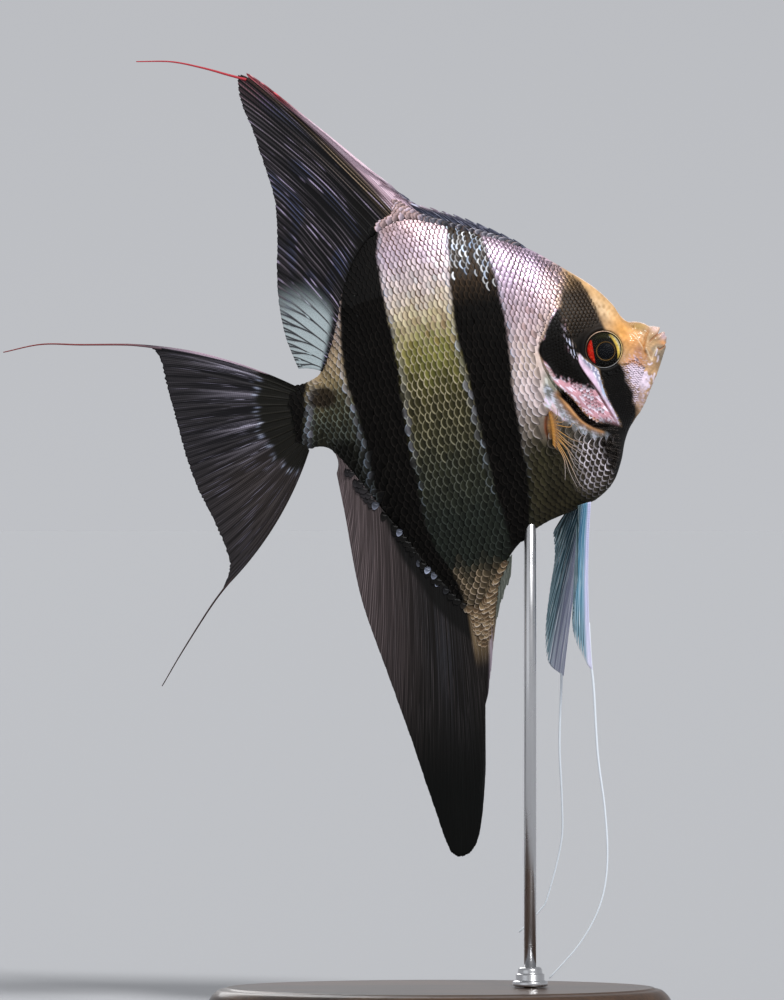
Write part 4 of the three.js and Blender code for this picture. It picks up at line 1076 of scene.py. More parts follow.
def scatter(name, lie, size, root_place, colours, paint, seed, tilt=SCALE_TILT):
    """One piece of scales, from the lie, size in millimetres and colours of each of them."""
    place, outward, tailward = lie
    mesh = bpy.data.meshes.new(name + "_roots")
    mesh.from_pydata(to_room(place), [], [])
    roots = bpy.data.objects.new(name, mesh)
    bpy.context.collection.objects.link(roots)
    for key, values in colours.items():
        give(roots, key, "FLOAT_COLOR" if np.ndim(values) == 2 else "FLOAT", values)
    zero = to_room(np.zeros((1, 3)))
    for key, values in (
        ("outward", to_room(outward) - zero), ("tailward", to_room(tailward) - zero),
        ("size", size * MM), ("root_place", root_place),
    ):
        slot = mesh.attributes.new(key, "FLOAT_VECTOR", "POINT")
        slot.data.foreach_set("vector", np.asarray(values, np.float32).ravel())
    layer = roots.modifiers.new("scatter", "NODES")
    layer.node_group = SCATTER
    sockets = {item.name: item.identifier for item in SCATTER.interface.items_tree if item.in_out == "INPUT"}
    for key, value in (
        ("Plate", PLATE), ("Paint", paint), ("Tilt", math.radians(tilt)),
        ("Tilt Spread", math.radians(1.2)), ("Seed", seed),
    ):
        layer[sockets[key]] = value
    seen = roots.evaluated_get(bpy.context.evaluated_depsgraph_get())
    real = bpy.data.meshes.new_from_object(seen)
    real.name = name
    roots.modifiers.remove(layer)
    roots.data = real
    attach(roots, "root")
    return roots


def scale_side(name, roots, side, seed, paint, tilt=SCALE_TILT, sink=SCALE_SINK):
    """A piece of scales on one side of the body, from roots of x, angle, pitch, row height and lean."""
    x, angle, pitch, height, lean = roots.T
    dice = np.random.default_rng(seed)
    z = flesh(x, angle)[:, 2]
    sx, sz = x - SHOWN * pitch * np.cos(lean), z + SHOWN * pitch * np.sin(lean)
    ground, bright, dark, _, shimmer = coat(sx, sz)
    likely = (0.45 + 0.5 * smooth(-0.4, 0.4, noise(sx, sz, 5.0, 48))) * smooth(26, 31, sz)
    likely = likely + smooth(52.6, 54.6, sx) * smooth(21, 25, sz) + smooth(48, 46, sx) * smooth(30, 34, sz)
    fleck = (dice.random(len(x)) < 0.9 * likely) * between(MIDDLE_BAR, sx, sz, 0.6)
    fleck = fleck * dice.uniform(0.35, 1, len(x))
    tint = np.maximum(dice.random(len(x)), 0.7 * smooth(17, 23, sz) * (sx > 56))
    fleck_colour = graded((0.52, 0.70, 1.0), (0.95, 0.97, 1.0), 1.4 * dice.random(len(x)))
    # Some scales near the gill rim get wider bright edges: painted glints of the wet flesh.
    wet = (from_path(GILL_RIM, sx, sz, 6)[0] < 3.6) * (dice.random(len(x)) < 0.45)
    lilac = smooth(83, 85, sx) * smooth(-3.5, -5, sz)
    brim = 0.17 + 0.04 * smooth(66, 72, x) * smooth(-19, -24, z) + 0.14 * fleck * (fleck > 0.3)
    colours = {
        "ground": ground * (0.78 + 0.44 * dice.random((len(x), 1))),
        "bright": mix(bright, fleck_colour, fleck > 0.3),
        "shimmer": np.clip(shimmer / np.maximum(1 - dark, 0.2), 0, 1),
        "tint": np.maximum(tint, fleck), "spared": fleck,
        "brim": brim + 0.16 * wet + 0.24 * lilac,
    }
    jitter = dice.uniform(0.94, 1.06, len(x))
    size = np.column_stack([
        pitch * LENGTH_PER_PITCH * jitter, height * WIDTH_PER_ROW * jitter, np.minimum(1, pitch),
    ])
    lie = lie_of(x, angle, lean + dice.uniform(-0.06, 0.06, len(x)), side, sink * pitch)
    piece = scatter(name, lie, size, unwrapped(x, angle, side), colours, paint, seed, tilt)
    lay_marks(piece)


PLATE = plate_mesh()
SCATTER = scatter_tree("scale_scatter")


def scale_paint(name, specular, roughness):
    """A scale: its ground colour with painted shade towards its root, under the edge of the scale before
    it, and a bright crescent along the free edge, partly its own pale edge and partly a painted
    highlight, with fine growth lines."""
    material, add, feed_shader = new_paint(name)
    ground, bright, tint, shimmer, brim, plate = (
        add("ShaderNodeAttribute", attribute_name=key)
        for key in ("ground", "bright", "tint", "shimmer", "brim", "plate")
    )

    def math_node(operation, *values):
        return add("ShaderNodeMath", dict(enumerate(values)), operation=operation).outputs[0]
    split = add("ShaderNodeSeparateXYZ", {0: plate.outputs["Vector"]})
    across, along = split.outputs["X"], split.outputs["Y"]
    skewed = math_node("MULTIPLY_ADD", across, 0.07, along)
    rounded = math_node("MULTIPLY_ADD", math_node("MULTIPLY", across, across), 0.15, skewed)
    # The bright crescent along the free edge: partly the scale's own pale edge, partly a painted highlight.
    crescent = add("ShaderNodeMapRange", {
        "Value": math_node("ADD", rounded, brim.outputs["Fac"]), "From Min": 1.0, "From Max": 1.08,
    }, interpolation_type="SMOOTHSTEP")
    strength = add("ShaderNodeMapRange", {"Value": tint.outputs["Fac"], "To Min": 0.28, "To Max": 1.0})
    # Painted shade: the ground darkens towards the root, under the edge of the scale before.
    centre = add("ShaderNodeMapRange", {
        "Value": skewed, "From Min": 0.50, "From Max": 0.80, "To Min": 0.4, "To Max": 1.0,
    })
    root_shaded = add(
        "ShaderNodeVectorMath", {0: ground.outputs["Color"], "Scale": centre.outputs[0]}, operation="SCALE"
    )
    edged = add("ShaderNodeMix", {
        "Factor": math_node("MULTIPLY", crescent.outputs[0], strength.outputs[0]),
        "A": root_shaded.outputs[0], "B": bright.outputs["Color"],
    }, data_type="RGBA")
    rough = add("ShaderNodeMapRange", {
        "Value": shimmer.outputs["Fac"], "To Min": roughness, "To Max": 0.7 * roughness,
    })
    lines = add("ShaderNodeTexWave", {
        "Vector": plate.outputs["Vector"], "Scale": 2.2, "Distortion": 1.5,
    }, bands_direction="Y")
    ridged = add("ShaderNodeBump", {"Height": lines.outputs["Fac"], "Distance": 0.00002, "Strength": 0.5})
    feed_shader({
        "Base Color": edged.outputs["Result"], "Roughness": rough.outputs[0],
        "Metallic": math_node("MULTIPLY", shimmer.outputs["Fac"], 0.35),
        "Specular IOR Level": specular, "Normal": ridged.outputs[0],
    })
    return material


pearl_paint = scale_paint("pearly_scale", specular=0.12, roughness=0.40)
black_paint = scale_paint("black_scale", specular=0.05, roughness=0.5)
zones = []
for number, anchor in enumerate(ROW_ANCHORS):
    zone = flank_roots(anchor)
    zone_z = flesh(zone[:, 0], zone[:, 1])[:, 2]
    middles = [(bar[0](zone_z) + bar[1](zone_z)) / 2 for bar in (REAR_BAR, MIDDLE_BAR)]
    past = (zone[:, 0] > middles[0]).astype(int) + (zone[:, 0] > middles[1])
    zones.append(zone[(past == number) & ~bare(zone[:, 0], zone_z)])
flank = np.vstack(zones)
flank_z = flesh(flank[:, 0], flank[:, 1])[:, 2]
flank_black = (marks_at(flank[:, 0] - SHOWN * flank[:, 2], flank_z)[0] > 0.6) & (flank_z < BAR_TOP)
flank_x = flank[:, 0]
shares = {
    "scales_rear": ~flank_black & (flank_x < REAR_END),
    "scales_middle": ~flank_black & (flank_x >= REAR_END) & (flank_x < MIDDLE_END),
    "scales_front": ~flank_black & (flank_x >= MIDDLE_END),
    "bar_scales": flank_black,
}
cover, cheek, nape = cover_roots(), cheek_roots(), nape_roots()
for side, side_name in ((1, "left"), (-1, "right")):
    for number, (name, chosen) in enumerate(shares.items()):
        paint = black_paint if name == "bar_scales" else pearl_paint
        scale_side(f"{name}_{side_name}", flank[chosen], side, 20 + 2 * number + side, paint)
    scale_side(f"gill_cover_scales_{side_name}", cover, side, 50 + side, black_paint, tilt=6, sink=0.1)
    scale_side(f"cheek_scales_{side_name}", cheek, side, 60 + side, pearl_paint, tilt=6, sink=0.05)
    scale_side(f"nape_scales_{side_name}", nape, side, 70 + side, pearl_paint, tilt=7, sink=0.08)


# ------------------------------------------------------------------------------------------------
# The eyes: a globe that sits deep in its socket, with a thin pale rim, an iris that the black bar
# runs down through between a red part behind and a gold part ahead, and a clear bulging cornea.
# ------------------------------------------------------------------------------------------------
IRIS_COLOURS = {
    "dark": (0.004, 0.004, 0.003), "olive": (0.050, 0.046, 0.012), "red": (0.82, 0.020, 0.008),
    "gold": (1.0, 0.70, 0.13), "cream": (1.0, 0.90, 0.56), "ring": (0.20, 0.11, 0.03),
    "pupil": (0.003, 0.004, 0.006), "edge": (0.035, 0.024, 0.016), "flame": (0.95, 0.16, 0.05),
    "brass": (0.60, 0.42, 0.09), "rim": (0.10, 0.07, 0.05), "rim_above": (0.74, 0.50, 0.36),
    "rim_ahead": (0.86, 0.62, 0.26), "rim_below": (0.34, 0.35, 0.36),
}
PUPIL_SHIFT = (0.42, -0.52)
GLOBE_PROFILE = [  # radius and depth outward of the body's middle plane
    (4.98, 4.2), (4.96, 6.2), (4.92, 7.2), (4.82, 7.56), (4.7, 7.64), (4.6, 7.56), (4.52, 7.4), (4.46, 7.28),
    (3.8, 7.42), (3.1, 7.58), (2.64, 7.68), (2.46, 7.76), (2.3, 7.72), (2.16, 7.64), (1.9, 7.86), (1.3, 8.12),
    (0.6, 8.26), (0.05, 8.3),
]
CORNEA_PROFILE = [(4.56, 7.40), (4.5, 7.68), (3.98, 8.18), (3.1, 8.62), (2.1, 8.9), (1.0, 9.05), (0.05, 9.08)]


def turned_about_eye(profile, steps, turns, side, shift=(0, 0)):
    """A form turned about the line across the body through the eye, closed by a point at each end,
    with its inner rings shifted by the given amount."""
    radius_at, depth_at = (through([(i, p[k]) for i, p in enumerate(profile)]) for k in (0, 1))
    t = np.linspace(0, len(profile) - 1, steps)
    radius, depth = radius_at(t), depth_at(t)
    turn = np.arange(turns) * 2 * np.pi / turns
    inner = (1 - smooth(2.5, 4.4, radius))[:, None]
    x = EYE["x"] + radius[:, None] * np.cos(turn) + shift[0] * inner
    z = EYE["z"] + radius[:, None] * np.sin(turn) + shift[1] * inner
    y = np.broadcast_to(depth[:, None], x.shape)
    ends = [(x[k].mean(), depth[k] + 0.005 * (k < 0), z[k].mean()) for k in (0, -1)]
    points = np.vstack([np.stack([x, y, z], -1).reshape(-1, 3), ends]) * (1, side, 1)
    return points, tube_faces(steps, turns)


def iris_colours(points):
    """The colours of the globe from its front: the bar runs down through it between a red crescent
    behind and a gold one ahead, round a pupil in a thin ring, all within a pale rim."""
    c = IRIS_COLOURS
    dx, dz = points[:, 0] - EYE["x"], points[:, 2] - EYE["z"]
    r = np.hypot(dx, dz)
    from_pupil = np.hypot(dx - PUPIL_SHIFT[0], dz - PUPIL_SHIFT[1])
    olive = smooth(2.4, 3.8, r) * smooth(0.5, 3.5, dz) * spot(dx, dz, (0.6, 3.2), (2.2, 3)) * 0.5
    red = smooth(2.66, 2.82, 0.05 * dz - dx) * (1 - smooth(4.16, 4.28, r))
    red = red * smooth(3.2, 2.95, dz + 0.2 * (dx + 3))
    inner = 3.3 - 0.07 * (dz + 0.9) ** 2
    gold = smooth(-0.1, 0.12, dx - inner) * (1 - smooth(4.27, 4.40, r))
    gold = gold * smooth(-4.1, -3.4, dz) * smooth(3.7, 3.2, dz)
    shine = graded(c["brass"], c["gold"], smooth(0.0, 0.4, dx - inner - 0.1 * dz))
    shine = mix(shine, c["cream"], smooth(0.5, 0.9, dx - inner))
    up, ahead = dz / np.maximum(r, 0.1), dx / np.maximum(r, 0.1)
    rim = layered(
        graded(c["rim"], c["rim_above"], smooth(0.2, 0.9, up + 0.2 * ahead)),
        (c["rim_ahead"], smooth(0.3, 0.9, ahead)), (c["rim_below"], smooth(0.6, 0.95, -up)),
    )
    return layered(
        graded(c["dark"], c["olive"], olive), (c["red"], red),
        (c["flame"], 0.5 * red * smooth(0.3, 0.8, noise(dx, dz, 0.9, 41))), (shine, gold),
        (c["ring"], np.exp(-(((from_pupil - 2.38) / 0.10) ** 2))),
        (c["pupil"], 1 - smooth(2.14, 2.24, from_pupil)), (c["edge"], smooth(4.46, 4.54, r)),
        (rim, smooth(4.62, 4.68, r) * (1 - smooth(4.76, 4.86, r))),
    )


iris_paint, _, _ = grained_paint(
    "iris", blotch=0.0006, pebble=0.00025, specular=0.08, depth=0.00005, strength=0.4
)
cornea_paint, _, feed_shader = new_paint("clear_cornea")
feed_shader({"Base Color": (0.01, 0.01, 0.01, 1), "Roughness": 0.03, "IOR": 1.38, "Alpha": 0.16})

for side, side_name in ((1, "left"), (-1, "right")):
    points, faces = turned_about_eye(GLOBE_PROFILE, 130, 180, side, PUPIL_SHIFT)
    globe = make_piece(f"eye_globe_{side_name}", to_room(points), faces, iris_paint)
    give(globe, "ground", "FLOAT_COLOR", iris_colours(points))
    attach(globe, "root")
    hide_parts(f"eye_{side_name}")
    points, faces = turned_about_eye(CORNEA_PROFILE, 24, 96, side)
    cornea = make_piece(f"cornea_{side_name}", to_room(points), faces, cornea_paint)
    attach(cornea, "root")

# ------------------------------------------------------------------------------------------------
# The fins: thin webs of skin on fans of rays that spring from the body and fork as they spread.
# Each is drawn by a few of its rays, root x, root z, tip x and tip z. `bow` curves the rays and
# `sway` carries the free edge to the fish's left. The longest rays run on as fine threads.
# ------------------------------------------------------------------------------------------------
FINS = {
    "dorsal_fin": {
        "rays": [
            (67.8, 29.6, 65.2, 33), (62.5, 33.4, 58, 38.3), (56.5, 36.7, 51, 42.9), (50.5, 39.8, 44, 46.7),
            (45, 42.6, 37, 50.6), (41.5, 44.4, 28.8, 61.4), (38.8, 45.2, 16.6, 77.2), (35.5, 45.2, 4.4, 91),
            (31.5, 44.2, 1.8, 85.5), (27, 41.8, 3.2, 76.5), (22.6, 37.6, 4.4, 66.5), (18.8, 31.8, 5.2, 56.5),
            (15.8, 25.4, 3.6, 46), (13.2, 19.4, 1.2, 34.5), (10.6, 14.4, 0.6, 22.5), (8.2, 10.6, 2.2, 12.6),
        ],
        "bow": [0, 0.8, 1.2, 0.4], "sway": -3.2, "half": (0.6, 0.16),
    },
    "anal_fin": {
        "rays": [
            (46.6, -46, 44.9, -52.2), (43.6, -48.6, 41.2, -57.8), (40.6, -52.4, 37.4, -66),
            (37.8, -56, 33.4, -79), (36, -57.8, 30.6, -86), (33.4, -57.4, 27.6, -101.5),
            (30.8, -54.8, 22, -117.8), (28, -50.4, 15.4, -119.6), (24.6, -44.6, 13, -106),
            (20.8, -36.8, 10.9, -88), (16.8, -29.2, 8.6, -71), (12.6, -20.8, 5.8, -49),
            (9.4, -14.6, 6.2, -27), (6.8, -10.2, 6.3, -16),
        ],
        "bow": [0, -0.6, -1, -0.8], "sway": 4.2, "half": (0.6, 0.16),
    },
    "caudal_fin": {
        "rays": [
            (0.6, 8.4, -40.8, 28.5), (0.4, 7.2, -33.4, 24.9), (0.2, 5, -32.4, 14.2), (0.2, 2.2, -31.7, 4.4),
            (0.2, -0.5, -31.2, -4.2), (0.2, -3.2, -30, -12.6), (0.2, -5.8, -27.5, -22.2),
            (0.4, -7.8, -26, -33), (0.6, -8.8, -29, -39.6),
        ],
        "bow": [2.4, 0.6, -0.6, -2.6], "sway": 2.6, "half": (0.8, 0.16),
    },
    "pectoral_fin": {
        "rays": [
            (63.5, -12, 69.5, -7), (63.4, -13.6, 75.5, -10.6), (63.3, -15.2, 79.4, -17),
            (63.2, -16.6, 79.6, -25), (63.1, -18, 75.8, -31.6), (63, -19.4, 70.4, -35),
            (62.9, -20.6, 65.4, -33.4),
        ],
        "bow": [0.6, 0.3, 0, -0.4], "out": (8.9, 15.5), "half": (0.4, 0.1),
    },
    "ventral_fin_right": {
        "rays": [
            (69.4, -37, 60.6, -80), (68.4, -37, 59.3, -77), (67.4, -37.1, 57.8, -70),
            (66.6, -37.2, 59.2, -63), (65.8, -37.3, 61.8, -56),
        ],
        "bow": [0.9, 0.6, 0.3, 0], "out": (2.3, 4.4), "half": (0.45, 0.12),
    },
    "ventral_fin_left": {
        "rays": [
            (68.6, -37, 53.2, -80), (67.6, -37, 50, -75.4), (66.6, -37.1, 51, -67.6),
            (65.6, -37.2, 54, -58.6), (64.6, -37.3, 57.2, -50), (63.6, -37.5, 58.4, -42.6),
        ],
        "bow": [0.3, 0.4, 0.4, 0.2], "out": (2.3, 5.4), "half": (0.45, 0.12),
    },
}
THREADS = {
    "dorsal_fin": [[
        (4.6, -3.1, 88.8), (0.4, -3.3, 90.9), (-6, -3.4, 94.2), (-13.5, -2.9, 97.4), (-22.3, -1.6, 99.4),
    ]],
    "caudal_fin": [
        [(-31.5, 1.7, 25.3), (-36.7, 2.2, 27.1), (-41.5, 2.6, 28.4), (-52, 2.7, 30.6), (-62, 2, 32.8),
         (-71.9, 0.8, 32.8)],
        [(-21.7, 1.7, -34.0), (-25.9, 2.2, -37.1), (-32.6, 2.7, -42.8), (-42.6, 2.4, -53),
         (-49.6, 1.6, -60.7)],
    ],
    "ventral_fin_right": [[
        (59.9, -4.6, -85), (57.4, -5.6, -101.5), (56.2, -6.4, -116),
        (53.9, -7.2, -129.5), (49.8, -8, -139.6), (42.6, -8.4, -148.2), (33.1, -8.8, -155.3),
    ]],
    "ventral_fin_left": [[
        (51.9, 5.6, -83), (48.4, 6.8, -97.5), (46, 7.8, -112), (43.6, 8.6, -122.4),
        (37.2, 9.4, -135.6), (34.4, 9.8, -138.8), (28, 10.4, -143.2),
    ]],
}


def fin_surface(fin, side, across, along):
    """Points of a fin's middle surface, across its fan of rays and along them, both from 0 to 1."""
    table = np.array(fin["rays"], float)
    last = len(table) - 1
    rx, rz, tx, tz = (through(np.column_stack([np.arange(last + 1), c]))(across * last) for c in table.T)
    bow = through([(i / (len(fin["bow"]) - 1), b) for i, b in enumerate(fin["bow"])])(across)
    length = np.hypot(tx - rx, tz - rz)
    bend = -bow * 4 * along * (1 - along) / np.maximum(length, 1e-6)
    x = rx + (tx - rx) * along + (rz - tz) * bend
    z = rz + (tz - rz) * along + (tx - rx) * bend
    if "out" in fin:
        y = side * (fin["out"][0] + (fin["out"][1] - fin["out"][0]) * along)
    else:
        y = fin["sway"] * np.minimum(1, length / 40) * along**2
    return np.stack(np.broadcast_arrays(x, y, z), -1), length


FORKS = [(0.25, 0.28, 0.9), (0.11, 0.6, 1.1)]  # how far a ray parts, and where along it it does


def forks(across, along, count):
    """1 on the middle of a fin's rays, which fork twice on their way out, and 0 on the web."""
    part = np.abs(across * count % 1 - 0.5)
    for reach, low, high in FORKS:
        part = np.abs(part - reach * smooth(low, high, along))
    return 1 - smooth(0.02, 0.13, part)


def ray_lines():
    """The same forking rays as a shader node group that reads the fin's UV map, with their joints."""
    group, add = new_shader_group(
        "ray_lines", {"Rays": 26.0, "Joints": 90.0, "Line Width": 0.13, "Strands": 90.0},
        ("Ray", "Joint", "Strand", "Streak"),
    )

    def math_node(operation, *values):
        return add("ShaderNodeMath", dict(enumerate(values)), operation=operation).outputs[0]

    def step(low, high, value):
        return add(
            "ShaderNodeMapRange", {"From Min": low, "From Max": high, "Value": value},
            interpolation_type="SMOOTHSTEP",
        ).outputs[0]

    def cloud(x, y, detail=1.0):
        place = add("ShaderNodeCombineXYZ", {"X": x, "Y": y})
        return add(
            "ShaderNodeTexNoise", {"Vector": place.outputs[0], "Scale": 1.0, "Detail": detail}
        ).outputs["Fac"]
    given, fan = add("NodeGroupInput"), add("ShaderNodeUVMap", uv_map="fan")
    split = add("ShaderNodeSeparateXYZ", {0: fan.outputs[0]})
    across, along = split.outputs["X"], split.outputs["Y"]
    part = math_node("FRACT", math_node("MULTIPLY", across, given.outputs["Rays"]))
    part = math_node("ABSOLUTE", math_node("SUBTRACT", part, 0.5))
    for reach, low, high in FORKS:
        shift = math_node("MULTIPLY", step(low, high, along), reach)
        part = math_node("ABSOLUTE", math_node("SUBTRACT", part, shift))
    ray = math_node("SUBTRACT", 1.0, step(0.02, given.outputs["Line Width"], part))
    beat = math_node("FRACT", math_node("MULTIPLY", along, given.outputs["Joints"]))
    slow = math_node("MULTIPLY", along, 1.6)
    waver = math_node("MULTIPLY", cloud(math_node("MULTIPLY", across, 12.0), slow), 1.8)
    strands = math_node("MULTIPLY_ADD", across, given.outputs["Strands"], waver)
    number = math_node("MULTIPLY", math_node("FLOOR", strands), 7.31)
    line = math_node("ABSOLUTE", math_node("SUBTRACT", math_node("FRACT", strands), 0.5))
    line = math_node("SUBTRACT", 1.0, step(0.05, 0.21, line))
    lasting = step(0.38, 0.62, cloud(number, slow))
    brief = step(0.55, 0.68, cloud(number, math_node("MULTIPLY", along, 3.2), 2.0))
    add("NodeGroupOutput", {
        "Ray": ray, "Strand": math_node("MULTIPLY", line, lasting),
        "Streak": math_node("MULTIPLY", line, brief),
        "Joint": step(0.25, 0.4, math_node("ABSOLUTE", math_node("SUBTRACT", beat, 0.5))),
    })
    return group


RAY_LINES = ray_lines()


def fin_paint(name, rays, joints, strands, lines_share=0.5, joint_depth=0.25, width=0.13, ray_solid=1.0):
    """A fin: web and rays in their own colours, with fine strands along them and a few painted glints,
    the rays ridged and jointed, and the web as clear as the fin's own veil says."""
    material, add, feed_shader = new_paint(name)
    web, ray, glint, veil = (
        add("ShaderNodeAttribute", attribute_name=key) for key in ("ground", "bright", "glint", "veil")
    )
    lines = add("ShaderNodeGroup", {
        "Rays": rays, "Joints": joints, "Line Width": width, "Strands": strands,
    }, node_tree=RAY_LINES)
    rayed = add("ShaderNodeMapRange", {
        "Value": veil.outputs["Fac"], "From Min": 0.6, "From Max": 0.9, "To Min": 1.0, "To Max": lines_share,
    })
    share = add("ShaderNodeMix", {
        "Factor": rayed.outputs[0], "A": lines.outputs["Strand"], "B": lines.outputs["Ray"],
    }, data_type="FLOAT")
    colour = add("ShaderNodeMix", {
        "Factor": share.outputs["Result"], "A": web.outputs["Color"], "B": ray.outputs["Color"],
    }, data_type="RGBA")
    streaked = add("ShaderNodeMix", {
        "Factor": lines.outputs["Streak"], "A": colour.outputs["Result"], "B": glint.outputs["Color"],
    }, data_type="RGBA")
    joint = add("ShaderNodeMath", {
        0: lines.outputs["Joint"], 1: -joint_depth, 2: 1.0,
    }, operation="MULTIPLY_ADD")
    toned = add(
        "ShaderNodeVectorMath", {0: streaked.outputs["Result"], "Scale": joint.outputs[0]}, operation="SCALE"
    )
    solid_rays = add("ShaderNodeMath", {0: lines.outputs["Ray"], 1: ray_solid}, operation="MULTIPLY")
    solid = add("ShaderNodeMath", {0: solid_rays.outputs[0], 1: veil.outputs["Fac"]}, operation="MAXIMUM")
    height = add("ShaderNodeMath", {
        0: lines.outputs["Strand"], 1: 0.5, 2: lines.outputs["Ray"],
    }, operation="MULTIPLY_ADD")
    ridged = add("ShaderNodeBump", {"Height": height.outputs[0], "Distance": 0.00006, "Strength": 0.7})
    feed_shader({
        "Base Color": toned.outputs[0], "Alpha": solid.outputs[0], "Roughness": 0.5,
        "Specular IOR Level": 0.12, "Normal": ridged.outputs[0],
    })
    return material


def plate_faces(across, along):
    """The faces of a closed plate of two sheets of points: two grids and a strip round their rim."""
    grid = np.arange(across * along).reshape(across, along)
    a, b, c, d = grid[:-1, :-1], grid[1:, :-1], grid[1:, 1:], grid[:-1, 1:]
    front = np.stack([a, b, c, d], -1).reshape(-1, 4)
    back_sheet = np.stack([d, c, b, a], -1).reshape(-1, 4) + across * along
    rim = np.concatenate([grid[:, 0], grid[-1, 1:], grid[-2::-1, -1], grid[0, -2:0:-1]])
    after = np.roll(rim, -1)
    strip = np.column_stack([after, rim, rim + across * along, after + across * along])
    return np.vstack([front, back_sheet, strip]).tolist()


def thread_form(points, thick, fine, steps=60, sides=8):
    """A tapering thread through points, in the fish's frame, and its faces."""
    knots = np.array(points, float)
    t = np.linspace(0, len(knots) - 1, steps)
    line = np.column_stack([through(np.column_stack([np.arange(len(knots)), c]))(t) for c in knots.T])
    run = np.gradient(line, axis=0)
    run /= np.linalg.norm(run, axis=1, keepdims=True)
    out = np.cross(run, (0, 1, 0))
    out /= np.linalg.norm(out, axis=1, keepdims=True)
    up = np.cross(out, run)
    turn = np.arange(sides) * 2 * np.pi / sides
    radius = np.linspace(thick, fine, steps)[:, None, None]
    cos, sin = np.cos(turn)[:, None], np.sin(turn)[:, None]
    rings = line[:, None] + radius * (out[:, None] * cos + up[:, None] * sin)
    ends = np.array([line[0], line[-1] + run[-1] * fine])
    return np.vstack([rings.reshape(-1, 3), ends]), tube_faces(steps, sides)


def fin_of(node):
    return FINS[node if node in FINS else node.rsplit("_", 1)[0]]


def half_of(fin, v):
    """Half a fin's thickness on its way out."""
    return fin["half"][0] + (fin["half"][1] - fin["half"][0]) * v**0.6


def make_fin(node, side, paint, grid, reach, ridge, colour, threads=(), thread_colour=(1, 1, 1)):
    """A fin's plate with its threads: reach(across) is how far out its web goes, ridge(across, along)
    thickens it in millimetres, and colour(x, z, across, along) gives the colours of web, rays and
    glints and how solid the web is. Each thread is its points, its thickness at both ends, and its
    own colours there if it has them."""
    fin = fin_of(node)
    u = np.linspace(0, 1, grid[0])[:, None]
    v = (np.linspace(0, 1, grid[1])[None, :] ** 0.9) * reach(u)
    middle, _ = fin_surface(fin, side, u, v)
    normal = grid_normals(middle, closed_across=False)
    half = half_of(fin, v)
    rim = np.minimum(1, np.minimum(u, 1 - u) / 0.006 + 0.35) * np.minimum(1, (1 - v / reach(u)) / 0.01 + 0.5)
    half = (half + ridge(u, v)) * rim
    offset = normal * half[..., None]
    points = np.vstack([(middle + offset).reshape(-1, 3), (middle - offset).reshape(-1, 3)])
    faces = plate_faces(*grid)
    fan = np.tile(np.stack(np.broadcast_arrays(u, v), -1).reshape(-1, 2), (2, 1))
    half_count = len(fan) // 2
    web, rays, glint, veil = colour(middle[..., 0].ravel(), middle[..., 2].ravel(), *fan[:half_count].T)
    parts = [np.tile(part, (2, 1)) for part in (web, rays, glint, veil[:, None])]
    for knots, thick, fine, *own in threads:
        form, more = thread_form(knots, thick, fine)
        faces += [tuple(i + len(points) for i in face) for face in more]
        points = np.vstack([points, form])
        fan = np.vstack([fan, np.full((len(form), 2), 0.5)])
        shade = np.broadcast_to(own[0] if own else thread_colour, (len(form), 3))
        if len(own) > 1:
            way = np.minimum(np.arange(len(form)) / (len(form) - 2), 1)
            shade = mix(shade, own[1], smooth(0.05, 0.7, way))
        solid = np.ones((len(form), 1))
        parts = [np.vstack(pair) for pair in zip(parts, (shade, shade, shade, solid))]
    piece = make_piece(node + "_web", to_room(points), faces, paint)
    for key, part in zip(("ground", "bright", "glint"), parts):
        give(piece, key, "FLOAT_COLOR", part)
    give(piece, "veil", "FLOAT", parts[3])
    corner = np.zeros(len(piece.data.loops), np.int32)
    piece.data.loops.foreach_get("vertex_index", corner)
    piece.data.uv_layers.new(name="fan").data.foreach_set("uv", fan[corner].astype(np.float32).ravel())
    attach(piece, "root")
    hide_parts(node)
    return piece


def tile(colour, x):
    return np.broadcast_to(colour, (len(x), 3)).astype(float)


def daubed(x, colours, *daubs):
    """The colours of a fin's web, rays and glints. A daub says how far it covers each point, and what
    it lays over the web, the rays and the glints: a colour, a colour with its share, or nothing."""
    layers = [tile(colour, x) for colour in colours]
    for cover, *inks in daubs:
        for k, ink in enumerate(inks):
            if ink is not None:
                colour, share = ink if len(ink) == 2 else (ink, 1)
                layers[k] = mix(layers[k], colour, share * cover)
    return layers


